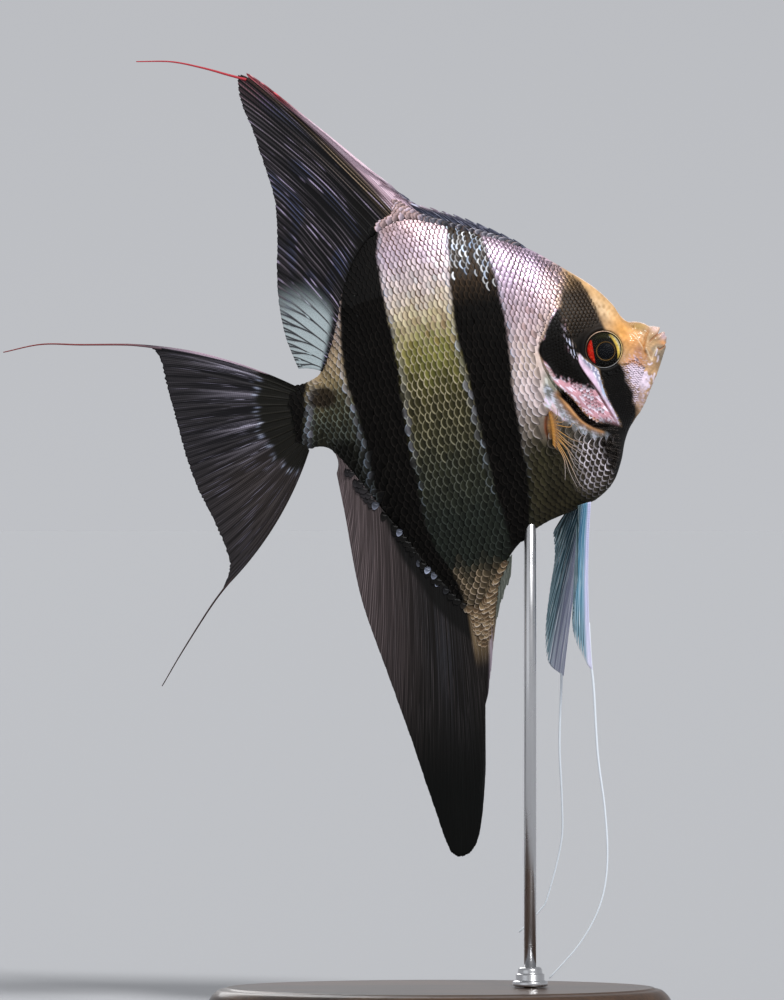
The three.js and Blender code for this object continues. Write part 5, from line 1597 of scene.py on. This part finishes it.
def sheath(node, name, pitch, row, height, colour, seed, wanted):
    """Small scales on both faces of a fin's base: height(u) is how far up they go in millimetres,
    wanted(u, v) keeps them, and colour(x, z, u, v) gives ground, free edge and shimmer."""
    fin = fin_of(node)
    u = np.linspace(0, 1, 2000)
    root, _ = fin_surface(fin, 1, u, 0 * u)
    run = np.concatenate([[0], np.cumsum(np.linalg.norm(np.diff(root, axis=0), axis=1))])
    rows = np.arange(-1, 1 + int(height(u).max() / row))
    steps = np.arange(int(run[-1] / pitch))
    i, j = (part.ravel() for part in np.meshgrid(rows, steps, indexing="ij"))
    u = np.interp((j + 0.5 * (i % 2)) * pitch, run, u)
    up = i * row
    v = up / fin_surface(fin, 1, u, 0 * u)[1]
    keep = (up <= height(u)) & wanted(u, v)
    u, v, up = u[keep], v[keep], up[keep]
    h = 0.004
    place = fin_surface(fin, 1, u, v)[0]
    along = fin_surface(fin, 1, u, v + h)[0] - place
    across = fin_surface(fin, 1, u + h, v)[0] - place
    along /= np.linalg.norm(along, axis=1, keepdims=True)
    outward = np.cross(along, across)
    outward /= np.linalg.norm(outward, axis=1, keepdims=True)
    outward *= np.sign(outward[:, 1:2])
    along = along - 0.5 * np.array([1, 0, 0])
    ground, bright, shimmer = colour(place[:, 0], place[:, 2], u, v)
    dice = np.random.default_rng(seed)
    small = (0.7 + 0.3 * smooth(height(u), 0.4 * height(u), up)) * dice.uniform(0.92, 1.08, len(u))
    lies, uvs = [], []
    for face in (1, -1):
        lift = half_of(fin, np.maximum(v, 0))[:, None] - 0.03
        lies.append((place + outward * face * lift, outward * face, along))
        uvs.append(np.column_stack([0.01 + 0.48 * u + 0.25 * (1 - face), 0.01 + 0.98 * v, 0 * u]))
    tint = np.tile(dice.random(len(u)), 2)
    colours = {
        "ground": np.tile(ground, (2, 1)) * (0.78 + 0.44 * tint[:, None]),
        "bright": np.tile(bright, (2, 1)),
        "shimmer": np.tile(shimmer, 2), "tint": tint, "brim": 0.18 + 0 * tint,
    }
    size = np.tile(np.column_stack([4 * row * small, 1.1 * pitch * small, 0.8 * small]), (2, 1))
    piece = scatter(
        name, [np.vstack(part) for part in zip(*lies)], size, np.vstack(uvs), colours, pearl_paint, seed, 6
    )


# The dorsal fin, rooted along the back: a thin web on low spines, then a tall sail with a pale
# leading edge that ends in a red thread. Small scales sheathe its base.
DORSAL_RAYS = 38
DORSAL_SPINED = 0.34  # the share of the fin, from its front, that stands on spines


def spine_steps(u, count, spined, depth):
    """The dips of the web between the spines of a fin's front."""
    dip = 1 - np.exp(-(((u * count % 1 - 0.5) / 0.16) ** 2))
    return depth * dip * (1 - smooth(spined - 0.04, spined, u))


def fringe(u, count, depth, seed):
    """The small points and dips of a fin's free edge."""
    return depth * (0.6 * (1 - forks(u, 1.0, count)) + 0.5 * (1 + noise(u * 100, 0 * u, 1.6, seed)))


def dorsal_reach(u):
    split = 0.035 * np.exp(-(((u - 0.425) / 0.006) ** 2)) + 0.03 * np.exp(-(((u - 0.475) / 0.008) ** 2))
    return 1 - spine_steps(u, DORSAL_RAYS, DORSAL_SPINED, 0.28) - fringe(u, DORSAL_RAYS, 0.012, 31) - split


def dorsal_ridge(u, v):
    return (0.12 + 0.3 * (u < DORSAL_SPINED)) * forks(u, v, DORSAL_RAYS) * (1 - 0.8 * v)


DORSAL_EDGE = [(41.5, 46.5), (37, 50.6), (28.8, 61.4), (16.6, 77.2), (4.4, 91)]


def dorsal_colour(x, z, u, v):
    front = 1 - smooth(DORSAL_SPINED - 0.03, DORSAL_SPINED, u)
    cool = smooth(0.1, 0.8, noise(u * 10, v * 3, 1.3, 34))
    from_edge, _, up = from_path(DORSAL_EDGE, x, z, 10)
    width = np.interp(up, (0, 0.25, 0.5, 0.75, 1), (5.4, 3.2, 2.0, 1.1, 0.5))
    leading = smooth(0.28, 0.33, u)
    fine_lines = 0.5 + 0.5 * noise(u * 230, v * 1.5, 2.0, 47)
    edge = leading * (1 - smooth(0.45 * width, (0.7 + 0.9 * fine_lines) * width, from_edge))
    edge = np.maximum(edge, leading * (1 - smooth(0.44, 0.47, u)) * (1 - smooth(0.10, 0.2, v + 0.03 * cool)))
    crimson = edge * (1 - smooth(12, 19, x)) * (1 - smooth(0.5 * width, 0.9 * width, from_edge))
    fading = graded((0.78, 0.56, 0.66), (0.30, 0.19, 0.23), smooth(0.2 * width, 0.9 * width, from_edge))
    line = leading * smooth(width, 1.2 * width, from_edge) * (1 - smooth(1.6 * width, 2.2 * width, from_edge))
    line = line * (1 - edge)
    rusty = smooth(0.70, 0.95, v) * (1 - smooth(0.44, 0.56, u)) * (1 - edge) * (1 - front)
    bar = between(REAR_BAR, x + 0.25 * np.maximum(z - 42, 0), np.minimum(z, 44), 1.4)
    bar = bar * (1 - smooth(0.10, 0.30, v)) * smooth(0.46, 0.52, u)
    pink = front * smooth(0.5, 0.95, v) * smooth(0.1, 0.3, u)
    clear = smooth(0.80, 0.86, u) * (1 - smooth(24, 36, z)) * smooth(0.04, 0.16, v)
    colours = daubed(
        x, [(0.004, 0.0037, 0.0045), (0.115, 0.096, 0.115), (0.37, 0.31, 0.45)],
        (cool, None, (0.10, 0.11, 0.20)),
        (spot(u, v, (0.46, 0.3), (0.06, 0.35)), None, (0.17, 0.13, 0.08)),
        (edge, fading, (0.98, 0.82, 0.92), (0.98, 0.86, 0.94)),
        (line, (0.012, 0.009, 0.006), ((0.36, 0.26, 0.18), 0.9)),
        (crimson, ((0.16, 0.015, 0.02), 0.95), ((0.74, 0.08, 0.10), 0.95), ((0.92, 0.40, 0.42), 0.9)),
        (rusty, None, ((0.36, 0.10, 0.12), 0.7), ((0.60, 0.24, 0.28), 0.7)),
        (bar, BAR, (0.014, 0.014, 0.016), (0.03, 0.03, 0.035)),
        (front, (0.05, 0.055, 0.09), (0.34, 0.34, 0.44), (0.62, 0.62, 0.80)),
        (pink, ((0.62, 0.42, 0.48), 0.6), ((0.88, 0.66, 0.70), 0.7)),
        (clear, ((0.46, 0.56, 0.58), 0.92), (0.035, 0.035, 0.04), (0.46, 0.56, 0.58)),
    )
    return *colours, 0.995 - 0.45 * clear


dorsal_paint = fin_paint("dorsal_skin", DORSAL_RAYS, joints=60, strands=80, lines_share=0.12)
make_fin(
    "dorsal_fin", 1, dorsal_paint, (460, 90),
    dorsal_reach, dorsal_ridge, dorsal_colour,
    [(knots, 0.36, 0.14) for knots in THREADS["dorsal_fin"]], (0.62, 0.06, 0.08),
)


def dorsal_sheath_height(u):
    return 0.7 + 4.4 * np.exp(-(((u - 0.395) / 0.05) ** 2)) * (1 - smooth(0.44, 0.49, u))


def dorsal_sheath_colour(x, z, u, v):
    ground, bright = tile((0.70, 0.50, 0.50), x), tile((0.44, 0.27, 0.22), x)
    rosy = smooth(0.0, 0.5, noise(x, z, 2.4, 35))
    ground = mix(ground, (0.86, 0.68, 0.78), rosy)
    cold = np.maximum(1 - smooth(0.30, 0.36, u), spot(u, v, (0.5, 0.05), (0.03, 0.1)))
    cold = smooth(0.2, 0.7, noise(x, z, 1.4, 36)) * cold
    ground = mix(ground, (0.16, 0.20, 0.26), 0.8 * (1 - smooth(0.28, 0.36, u)))
    bright = mix(bright, FROST, cold)
    dark, _ = marks_at(x - 0.4 * np.maximum(z - 42, 0) * (x < 40), np.minimum(z, 44.5))
    dark = dark * np.maximum(smooth(0.44, 0.5, u), 0.7 * (1 - smooth(0.3, 0.34, u)))
    ground, bright = mix(ground, BAR, dark), mix(bright, (0.02, 0.02, 0.02), dark * (1 - 0.8 * cold))
    return ground, bright, 0.8 * (1 - dark)


sheath(
    "dorsal_fin", "dorsal_sheath_scales", pitch=1.7, row=0.55, height=dorsal_sheath_height,
    colour=dorsal_sheath_colour, seed=81, wanted=lambda u, v: (u > 0.03) & (u < 0.58),
)

# The anal fin, rooted along the belly's rear: a thin web that starts on a few short stepped spines
# and hangs down as a long dark blade. Small scales sheathe its front.
ANAL_RAYS = 36
ANAL_SPINES = 22
ANAL_SPINED = 0.26


def anal_reach(u):
    return 1 - spine_steps(u, ANAL_SPINES, ANAL_SPINED, 0.15) - fringe(u, ANAL_RAYS, 0.005, 32)


def anal_ridge(u, v):
    return (0.10 + 0.2 * (u < ANAL_SPINED)) * forks(u, v, ANAL_RAYS) * (1 - 0.8 * v)


def anal_bar(x, z):
    """The rear bar's way on, down and forward through the fin."""
    return smooth(-0.8, 0.8, x - REAR_BAR[0](z)) * smooth(-0.6, 0.6, REAR_BAR[1](z) - x)


def anal_colour(x, z, u, v):
    # The fin darkens to near black towards its low tip: partly its own colour, partly painted shade.
    end = smooth(-62, -104, z)
    rear_light = smooth(0.62, 0.96, u) * (1 - 0.7 * end)
    bar = anal_bar(x, z) * smooth(-76, -66, z)
    scaled = smooth(31.6, 32.6, x - 0.06 * (z + 60)) * smooth(-74, -66, z)
    streak = np.exp(-(((u - 0.215) / 0.026) ** 2)) * smooth(-60, -70, z)
    spine = 1 - smooth(0.13, 0.18, u)
    colours = daubed(
        x, [(0.007, 0.0056, 0.005), (0.044, 0.036, 0.034), (0.085, 0.072, 0.075)],
        (end, (0.0006, 0.0008, 0.0005), (0.0016, 0.002, 0.0014), (0.003, 0.0036, 0.003)),
        (rear_light, ((0.085, 0.065, 0.066), 0.75), ((0.36, 0.28, 0.29), 0.75)),
        (spot(x, z, (24, -66), (5, 18)), None, ((0.075, 0.080, 0.10), 0.7)),
        (bar, BAR, (0.010, 0.010, 0.010), (0.012, 0.012, 0.013)),
        (scaled, (0.09, 0.06, 0.03), (0.32, 0.24, 0.15), (0.62, 0.50, 0.42)),
        (streak, ((0.34, 0.28, 0.34), 0.8), ((0.84, 0.74, 0.84), 0.9), (0.95, 0.88, 0.96)),
        (spine, ((0.07, 0.09, 0.08), 0.8), ((0.26, 0.30, 0.28), 0.8), ((0.42, 0.46, 0.44), 0.8)),
    )
    return *colours, 0.995 + 0 * u


anal_paint = fin_paint("anal_skin", ANAL_RAYS, joints=80, strands=190, lines_share=0.15, joint_depth=0.12)
make_fin(
    "anal_fin", 1, anal_paint, (440, 96),
    anal_reach, anal_ridge, anal_colour,
)


def anal_sheath_height(u):
    front = 9.5 * smooth(0.10, 0.22, u) * (1 - smooth(0.34, 0.40, u))
    return 0.3 + front + 1.7 * smooth(0.52, 0.62, u) * (1 - smooth(0.86, 0.97, u))


def anal_sheath_colour(x, z, u, v):
    gold = smooth(-0.3, 0.5, noise(x, z, 2.0, 37))
    ground = graded((0.12, 0.075, 0.04), (0.26, 0.18, 0.10), gold)
    bright = graded((0.42, 0.32, 0.22), (0.70, 0.60, 0.50), gold)
    rear = smooth(0.40, 0.44, u)
    fleck = smooth(0.2, 0.7, noise(x + z, z, 1.9, 38)) * smooth(0.50, 0.62, u)
    ground = mix(ground, (0.022, 0.020, 0.022), rear)
    ground = mix(ground, (0.36, 0.40, 0.52), 0.7 * fleck * rear)
    bright = mix(bright, graded((0.028, 0.025, 0.027), (0.70, 0.76, 0.98), fleck), rear)
    dark = anal_bar(x, z) * (1 - 0.95 * fleck)
    return mix(ground, BAR, dark), mix(bright, (0.012, 0.012, 0.011), dark), 0.5 * rear * fleck + 0.2


def anal_sheath_wanted(u, v):
    """The sheath's scales thin out towards the rear."""
    patchy = noise(90 * u, 200 * v, 2.5, 39) > -0.5 + 0.6 * smooth(0.4, 0.6, u)
    return (u > 0.04) & (u < 0.97) & patchy


sheath(
    "anal_fin", "anal_sheath_scales", pitch=1.8, row=0.56, height=anal_sheath_height,
    colour=anal_sheath_colour, seed=82, wanted=anal_sheath_wanted,
)

# The tail fin, rooted on the end of the tail stem: a thin web with a black band at its root, then a
# smoky fan whose outer rays run on as threads.
CAUDAL_RAYS = 17


def caudal_reach(u):
    inner = smooth(0.02, 0.08, u) * (1 - smooth(0.93, 0.99, u))
    return 1 - inner * fringe(u, CAUDAL_RAYS, 0.010, 33)


def caudal_ridge(u, v):
    rim = np.exp(-((np.minimum(u, 1 - u) / 0.03) ** 2)) * (1 - v)
    return 0.2 * forks(u, v, CAUDAL_RAYS) * (1 - 0.75 * v) + 0.25 * rim


def caudal_colour(x, z, u, v):
    bundle = smooth(-0.2, 0.6, noise(u * 60, v * 2, 5.5, 43)) * (1 - smooth(0.3, 0.9, v))
    bundle = bundle * (1 - 0.75 * smooth(0.45, 0.7, u))
    warm = smooth(0.45, 0.7, u) * (1 - 0.7 * smooth(0.5, 1.0, v))
    top = (1 - smooth(0.035, 0.085, u)) * (1 - smooth(0.5, 0.95, v)) * smooth(0.10, 0.18, v)
    reach = np.interp(u, (0, 0.1, 0.3, 0.5, 0.7, 0.9, 1), (0.17, 0.25, 0.33, 0.33, 0.27, 0.16, 0.10))
    uneven = 0.03 * noise(u * 55, 0 * u, 3.1, 40)
    band = 1 - smooth(-0.02, 0.05, v - reach + uneven)
    dash = smooth(0.0, 0.7, noise(u * 210, v * 9, 2.9, 42)) * smooth(0.06, 0.14, u)
    dash = dash * (1 - smooth(0.85, 0.95, u))
    # White-blue dots along the band's outer edge, partly painted glints.
    dots = np.exp(-(((v - reach + uneven - 0.02) / 0.022) ** 2)) * dash
    colours = daubed(
        x, [(0.006, 0.0055, 0.007), (0.050, 0.045, 0.050), (0.13, 0.12, 0.16)],
        (bundle, (0.020, 0.018, 0.024), ((0.50, 0.46, 0.56), 0.85), (0.76, 0.72, 0.92)),
        (warm, ((0.024, 0.018, 0.016), 0.6), ((0.085, 0.070, 0.066), 0.8)),
        (top, (0.42, 0.30, 0.38), (0.90, 0.76, 0.88), (0.96, 0.86, 0.94)),
        (spot(u, v, (0.07, 0.17), (0.035, 0.10)), ((0.30, 0.19, 0.05), 0.8), ((0.66, 0.48, 0.20), 0.8)),
        (band, (0.006, 0.0055, 0.004), (0.020, 0.018, 0.013), (0.028, 0.028, 0.028)),
        (dots, ((0.20, 0.22, 0.30), 0.8), (0.66, 0.70, 0.86), (0.9, 0.93, 1)),
    )
    return *colours, 0.995 - 0.02 * v


UPPER_THREAD, LOWER_THREAD = THREADS["caudal_fin"]
caudal_paint = fin_paint("caudal_skin", CAUDAL_RAYS, joints=60, strands=150, lines_share=0.35, width=0.17)
make_fin(
    "caudal_fin", 1, caudal_paint, (340, 80),
    caudal_reach, caudal_ridge, caudal_colour,
    [(UPPER_THREAD, 0.34, 0.14, (0.20, 0.13, 0.15), (0.26, 0.05, 0.05)),
     (LOWER_THREAD, 0.34, 0.12, (0.06, 0.04, 0.04))],
)

# The pectoral fins, rooted on orange pads behind the gill covers: small clear webs held out from the
# breast on thin gold rays, of which the uppermost are kinked.
PECTORAL_RAYS = 12
PECTORAL_THREADS = [
    [(64.4, -14.4), (65.3, -13.6), (65.8, -11.6), (66.9, -11.3)],
    [(64.4, -14.8), (66.4, -15.2), (67.3, -13.4), (68.2, -13.8)],
    [(64.2, -15.5), (67.7, -16.9), (68.7, -16.1), (69.7, -17), (70.1, -18.9), (71.4, -20.6)],
    [(64.2, -16.6), (67.8, -20.2), (70.8, -21.7), (73.0, -23.4)],
    [(64.2, -17.3), (66.7, -20.8), (69.4, -23.2), (71.8, -25.4)],
    [(64.2, -18.0), (66.7, -21.6), (68.7, -23.7), (70.6, -26.3)],
    [(64.1, -18.6), (66.2, -22.4), (67.8, -25.8), (70.2, -29.0)],
    [(64.0, -19.0), (65.9, -22.3), (66.5, -25.2), (67.4, -27.9), (69.7, -30.4)],
    [(63.9, -19.6), (65.4, -24.2), (66.4, -28.7), (67.3, -32.1), (68.6, -33.6)],
    [(63.8, -20.2), (64.9, -24.2), (65.4, -28.6), (66.4, -32.6)],
    [(63.6, -20.7), (64.6, -24.6), (64.3, -27.6), (63.7, -30.1)],
]


def pectoral_colour(x, z, u, v):
    root = 1 - smooth(0.02, 0.14, v)
    web, rays, glint = daubed(
        x, [(0.20, 0.17, 0.15), (0.36, 0.30, 0.26), (0.70, 0.62, 0.66)],
        (root, (0.62, 0.28, 0.06), (0.78, 0.44, 0.14)),
    )
    return web, rays, mix(glint, rays, root), 0.012 + 0.80 * root


def pectoral_threads(side):
    """The rays' own thin rods, laid on the fan's outer face, gold at the root and paler outwards."""
    fin = FINS["pectoral_fin"]
    u, v = np.meshgrid(np.linspace(0, 1, 80), np.linspace(0, 1, 60), indexing="ij")
    fan = fin_surface(fin, side, u, v)[0].reshape(-1, 3)
    rods = []
    for knots in PECTORAL_THREADS:
        nearest = [np.hypot(fan[:, 0] - x, fan[:, 2] - z).argmin() for x, z in knots]
        points = [(x, fan[k, 1] + 0.1 * side, z) for (x, z), k in zip(knots, nearest)]
        rods.append((points, 0.12, 0.035, (0.56, 0.29, 0.08), (0.44, 0.37, 0.34)))
    return rods


for side, side_name in ((1, "left"), (-1, "right")):
    paint = fin_paint(
        f"pectoral_{side_name}_skin", PECTORAL_RAYS, joints=30, strands=34, lines_share=0.0, joint_depth=0.1,
        width=0.05, ray_solid=0.04,
    )
    make_fin(
        f"pectoral_fin_{side_name}", side, paint, (150, 44),
        lambda u: 1 - 0.02 * (1 - forks(u, 1.0, PECTORAL_RAYS)),
        lambda u, v: 0.05 * forks(u, v, PECTORAL_RAYS) * (1 - 0.8 * v), pectoral_colour,
        pectoral_threads(side),
    )

# The ventral fins, rooted side by side under the breast: pale blue-white webs, narrow as blades,
# whose long first rays hang on as two white threads.
VENTRAL_RAYS = 9
THREAD_START = np.array([0.72, 0.86, 0.97])  # how far along the blade the knots of a thread's start lie


def ventral_colour(x, z, u, v, side):
    rear = smooth(0.40, 0.85, u)
    first = 1 - smooth(0.12, 0.30, u)
    low = smooth(0.55, 0.95, v) * (1 - first)
    # The far fin, on the fish's left, is painted darker: painted shade.
    far_fin_shade = (0.55 + 0.45 * smooth(0.02, 0.3, u)) * (1 - spot(u, v, (0.85, 0.95), (0.25, 0.08))) * (side > 0)
    colours = daubed(
        x, [(0.06, 0.19, 0.28), (0.48, 0.74, 0.92), (0.92, 0.97, 1.0)],
        (rear, ((0.018, 0.035, 0.034), 0.9), ((0.42, 0.50, 0.52), 0.6)),
        (spot(u, v, (0.55, 0.18), (0.14, 0.2)), ((0.03, 0.10, 0.20), 0.8), ((0.20, 0.42, 0.66), 0.7)),
        (first, (0.60, 0.62, 0.86), (0.92, 0.88, 1.0), (1.0, 0.94, 1.0)),
        (low, ((0.010, 0.030, 0.036), 0.8), ((0.22, 0.34, 0.40), 0.6)),
        (far_fin_shade, ((0.008, 0.022, 0.026), 0.9), ((0.26, 0.38, 0.43), 0.8), ((0.80, 0.88, 0.92), 0.7)),
    )
    return *colours, 0.99 - 0.05 * rear


for side, side_name in ((1, "left"), (-1, "right")):
    node = f"ventral_fin_{side_name}"
    along_blade = fin_surface(FINS[node], side, 0.03 + 0 * THREAD_START, THREAD_START)[0]
    thread = [*map(tuple, along_blade), *THREADS[node][0]]
    paint = fin_paint(
        f"ventral_{side_name}_skin", VENTRAL_RAYS, joints=70, strands=40, lines_share=0.55, joint_depth=0.12,
        width=0.16,
    )
    make_fin(
        node, side, paint, (150, 90),
        lambda u: 1 - 0.09 * smooth(0.15, 0.3, u) * (1 - forks(u, 1.0, VENTRAL_RAYS)),
        lambda u, v: 0.16 * forks(u, v, VENTRAL_RAYS) * (1 - 0.6 * v) + 0.3 * np.exp(-((u / 0.08) ** 2)),
        lambda x, z, u, v: ventral_colour(x, z, u, v, side), [(thread, 0.40, 0.17)], (0.80, 0.86, 0.92),
    )

# ------------------------------------------------------------------------------------------------
# The stand: an oval base of dark oiled wood with a moulded edge, and a brushed steel rod that
# stands in a collar on the base and ends inside the belly.
# ------------------------------------------------------------------------------------------------
BASE_PROFILE = [  # how far in from the edge, and height over the floor
    (1.6, 0.0), (0.5, 0.3), (0.0, 1.2), (0.0, 2.6), (0.35, 3.5), (1.3, 3.9), (1.5, 4.3), (1.5, 4.7),
    (1.9, 5.6), (2.8, 7.0), (4.2, 8.2), (5.6, 8.6), (6.0, 8.75), (6.6, 9.0), (7.4, 9.0),
]
base_low, base_high = (np.array(corner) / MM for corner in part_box("stand_base"))
base_half = (base_high - base_low)[:2] / 2
BASE_HEIGHT = 9.0


def ovals(centre, rings, turns):
    """The points of level rings round a centre, from their two reaches and their height."""
    turn = np.arange(turns) * 2 * np.pi / turns
    return [
        np.column_stack([centre[0] + a * np.cos(turn), centre[1] + b * np.sin(turn), np.full(turns, h)])
        for a, b, h in rings
    ]


def oval_base(turns=192, inner=10):
    """The base as rings from the underside's middle round the moulded edge to the top's middle."""
    inset, height = (through([(i, p[k]) for i, p in enumerate(BASE_PROFILE)]) for k in (0, 1))
    t = np.linspace(0, len(BASE_PROFILE) - 1, 90)
    shares = np.linspace(0.05, 0.95, inner)
    bottom, top = (base_half - inset(k) for k in (0, t[-1]))
    rings = [(*bottom * share, 0.0) for share in shares]
    rings += [(*base_half - i, h) for i, h in zip(inset(t), height(t))]
    rings += [(*top * share, BASE_HEIGHT) for share in shares[::-1]]
    centre = (base_high + base_low)[:2] / 2
    ends = np.array([(*centre, 0.0), (*centre, BASE_HEIGHT)])
    return np.vstack(ovals(centre, rings, turns) + [ends]) * MM, tube_faces(len(rings), turns)


def wood_paint():
    """Dark oiled walnut: long grain along the base, broad growth bands and fine pores."""
    material, add, feed_shader = new_paint("oiled_walnut")
    place = add("ShaderNodeTexCoord")
    long_grain = add("ShaderNodeMapping", {"Vector": place.outputs["Object"], "Scale": (9, 60, 60)})
    bands = add("ShaderNodeTexNoise", {
        "Vector": long_grain.outputs[0], "Scale": 1.3, "Detail": 4, "Distortion": 0.8,
    })
    pores_place = add("ShaderNodeMapping", {"Vector": place.outputs["Object"], "Scale": (120, 2400, 2400)})
    pores = add("ShaderNodeTexNoise", {"Vector": pores_place.outputs[0], "Scale": 1.0, "Detail": 2})
    ramp = add("ShaderNodeValToRGB", {"Fac": bands.outputs["Fac"]})
    for stop, position, colour in zip(
        ramp.color_ramp.elements, (0.32, 0.7), ((0.018, 0.009, 0.005, 1), (0.085, 0.042, 0.020, 1))
    ):
        stop.position, stop.color = position, colour
    shade = add("ShaderNodeMapRange", {
        "Value": pores.outputs["Fac"], "From Min": 0.35, "From Max": 0.55, "To Min": 0.62, "To Max": 1.0,
    })
    toned = add(
        "ShaderNodeVectorMath", {0: ramp.outputs["Color"], "Scale": shade.outputs[0]}, operation="SCALE"
    )
    pitted = add("ShaderNodeBump", {"Height": pores.outputs["Fac"], "Distance": 0.00008, "Strength": 0.35})
    feed_shader({
        "Base Color": toned.outputs[0], "Roughness": 0.36, "Coat Weight": 0.2, "Normal": pitted.outputs[0],
    })
    return material


def steel_paint():
    """Brushed stainless steel, with fine scratches round the rod and a few soft smudges."""
    material, add, feed_shader = new_paint("brushed_steel")
    place = add("ShaderNodeTexCoord")
    fine = add("ShaderNodeMapping", {"Vector": place.outputs["Object"], "Scale": (300, 300, 9000)})
    scratches = add("ShaderNodeTexNoise", {"Vector": fine.outputs[0], "Scale": 1.0, "Detail": 3})
    smudges = add("ShaderNodeTexNoise", {"Vector": place.outputs["Object"], "Scale": 90, "Detail": 2})
    rough = add("ShaderNodeMapRange", {
        "Value": smudges.outputs["Fac"], "From Min": 0.3, "From Max": 0.7, "To Min": 0.22, "To Max": 0.34,
    })
    brushed = add("ShaderNodeBump", {
        "Height": scratches.outputs["Fac"], "Distance": 0.00002, "Strength": 0.3,
    })
    feed_shader({
        "Base Color": (0.60, 0.60, 0.61, 1), "Metallic": 1.0, "Roughness": rough.outputs[0],
        "Normal": brushed.outputs[0],
    })
    return material


def turned_part(node, profile, paint, turns=64):
    """A part turned on the rod's line, from radius and height in millimetres."""
    low, high = (np.array(corner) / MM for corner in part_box(node))
    centre = (low + high)[:2] / 2
    ends = np.array([(*centre, profile[k][1]) for k in (0, -1)])
    points = ovals(centre, [(r, r, h) for r, h in profile], turns) + [ends]
    piece = make_piece(node + "_turned", np.vstack(points) * MM, tube_faces(len(profile), turns), paint)
    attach(piece, "root")
    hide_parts(node)


points, faces = oval_base()
base = make_piece("stand_base_moulded", points, faces, wood_paint())
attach(base, "root")
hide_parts("stand_base")

steel = steel_paint()
rod_low, rod_high = (corner[2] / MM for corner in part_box("stand_rod"))
ROD_RADIUS = 1.6
ROD = [(ROD_RADIUS, rod_low), (ROD_RADIUS, rod_high - 0.5), (ROD_RADIUS - 0.5, rod_high)]
turned_part("stand_rod", ROD, steel, 40)
collar_low, collar_high = (corner[2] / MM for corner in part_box("stand_ferrule"))
COLLAR = [
    (4.2, 0.0), (4.55, 0.15), (4.6, 0.5), (4.6, 1.1), (4.4, 1.35), (3.9, 1.5), (3.75, 1.7), (3.75, 3.0),
    (3.6, 3.2), (3.3, 3.3), (3.2, 3.5), (3.15, 4.2), (2.9, 4.75), (2.4, 5.0), (1.9, 5.0),
]
collar = [(r, collar_low + h * (collar_high - collar_low) / 5) for r, h in COLLAR]
turned_part("stand_ferrule", collar, steel, 72)
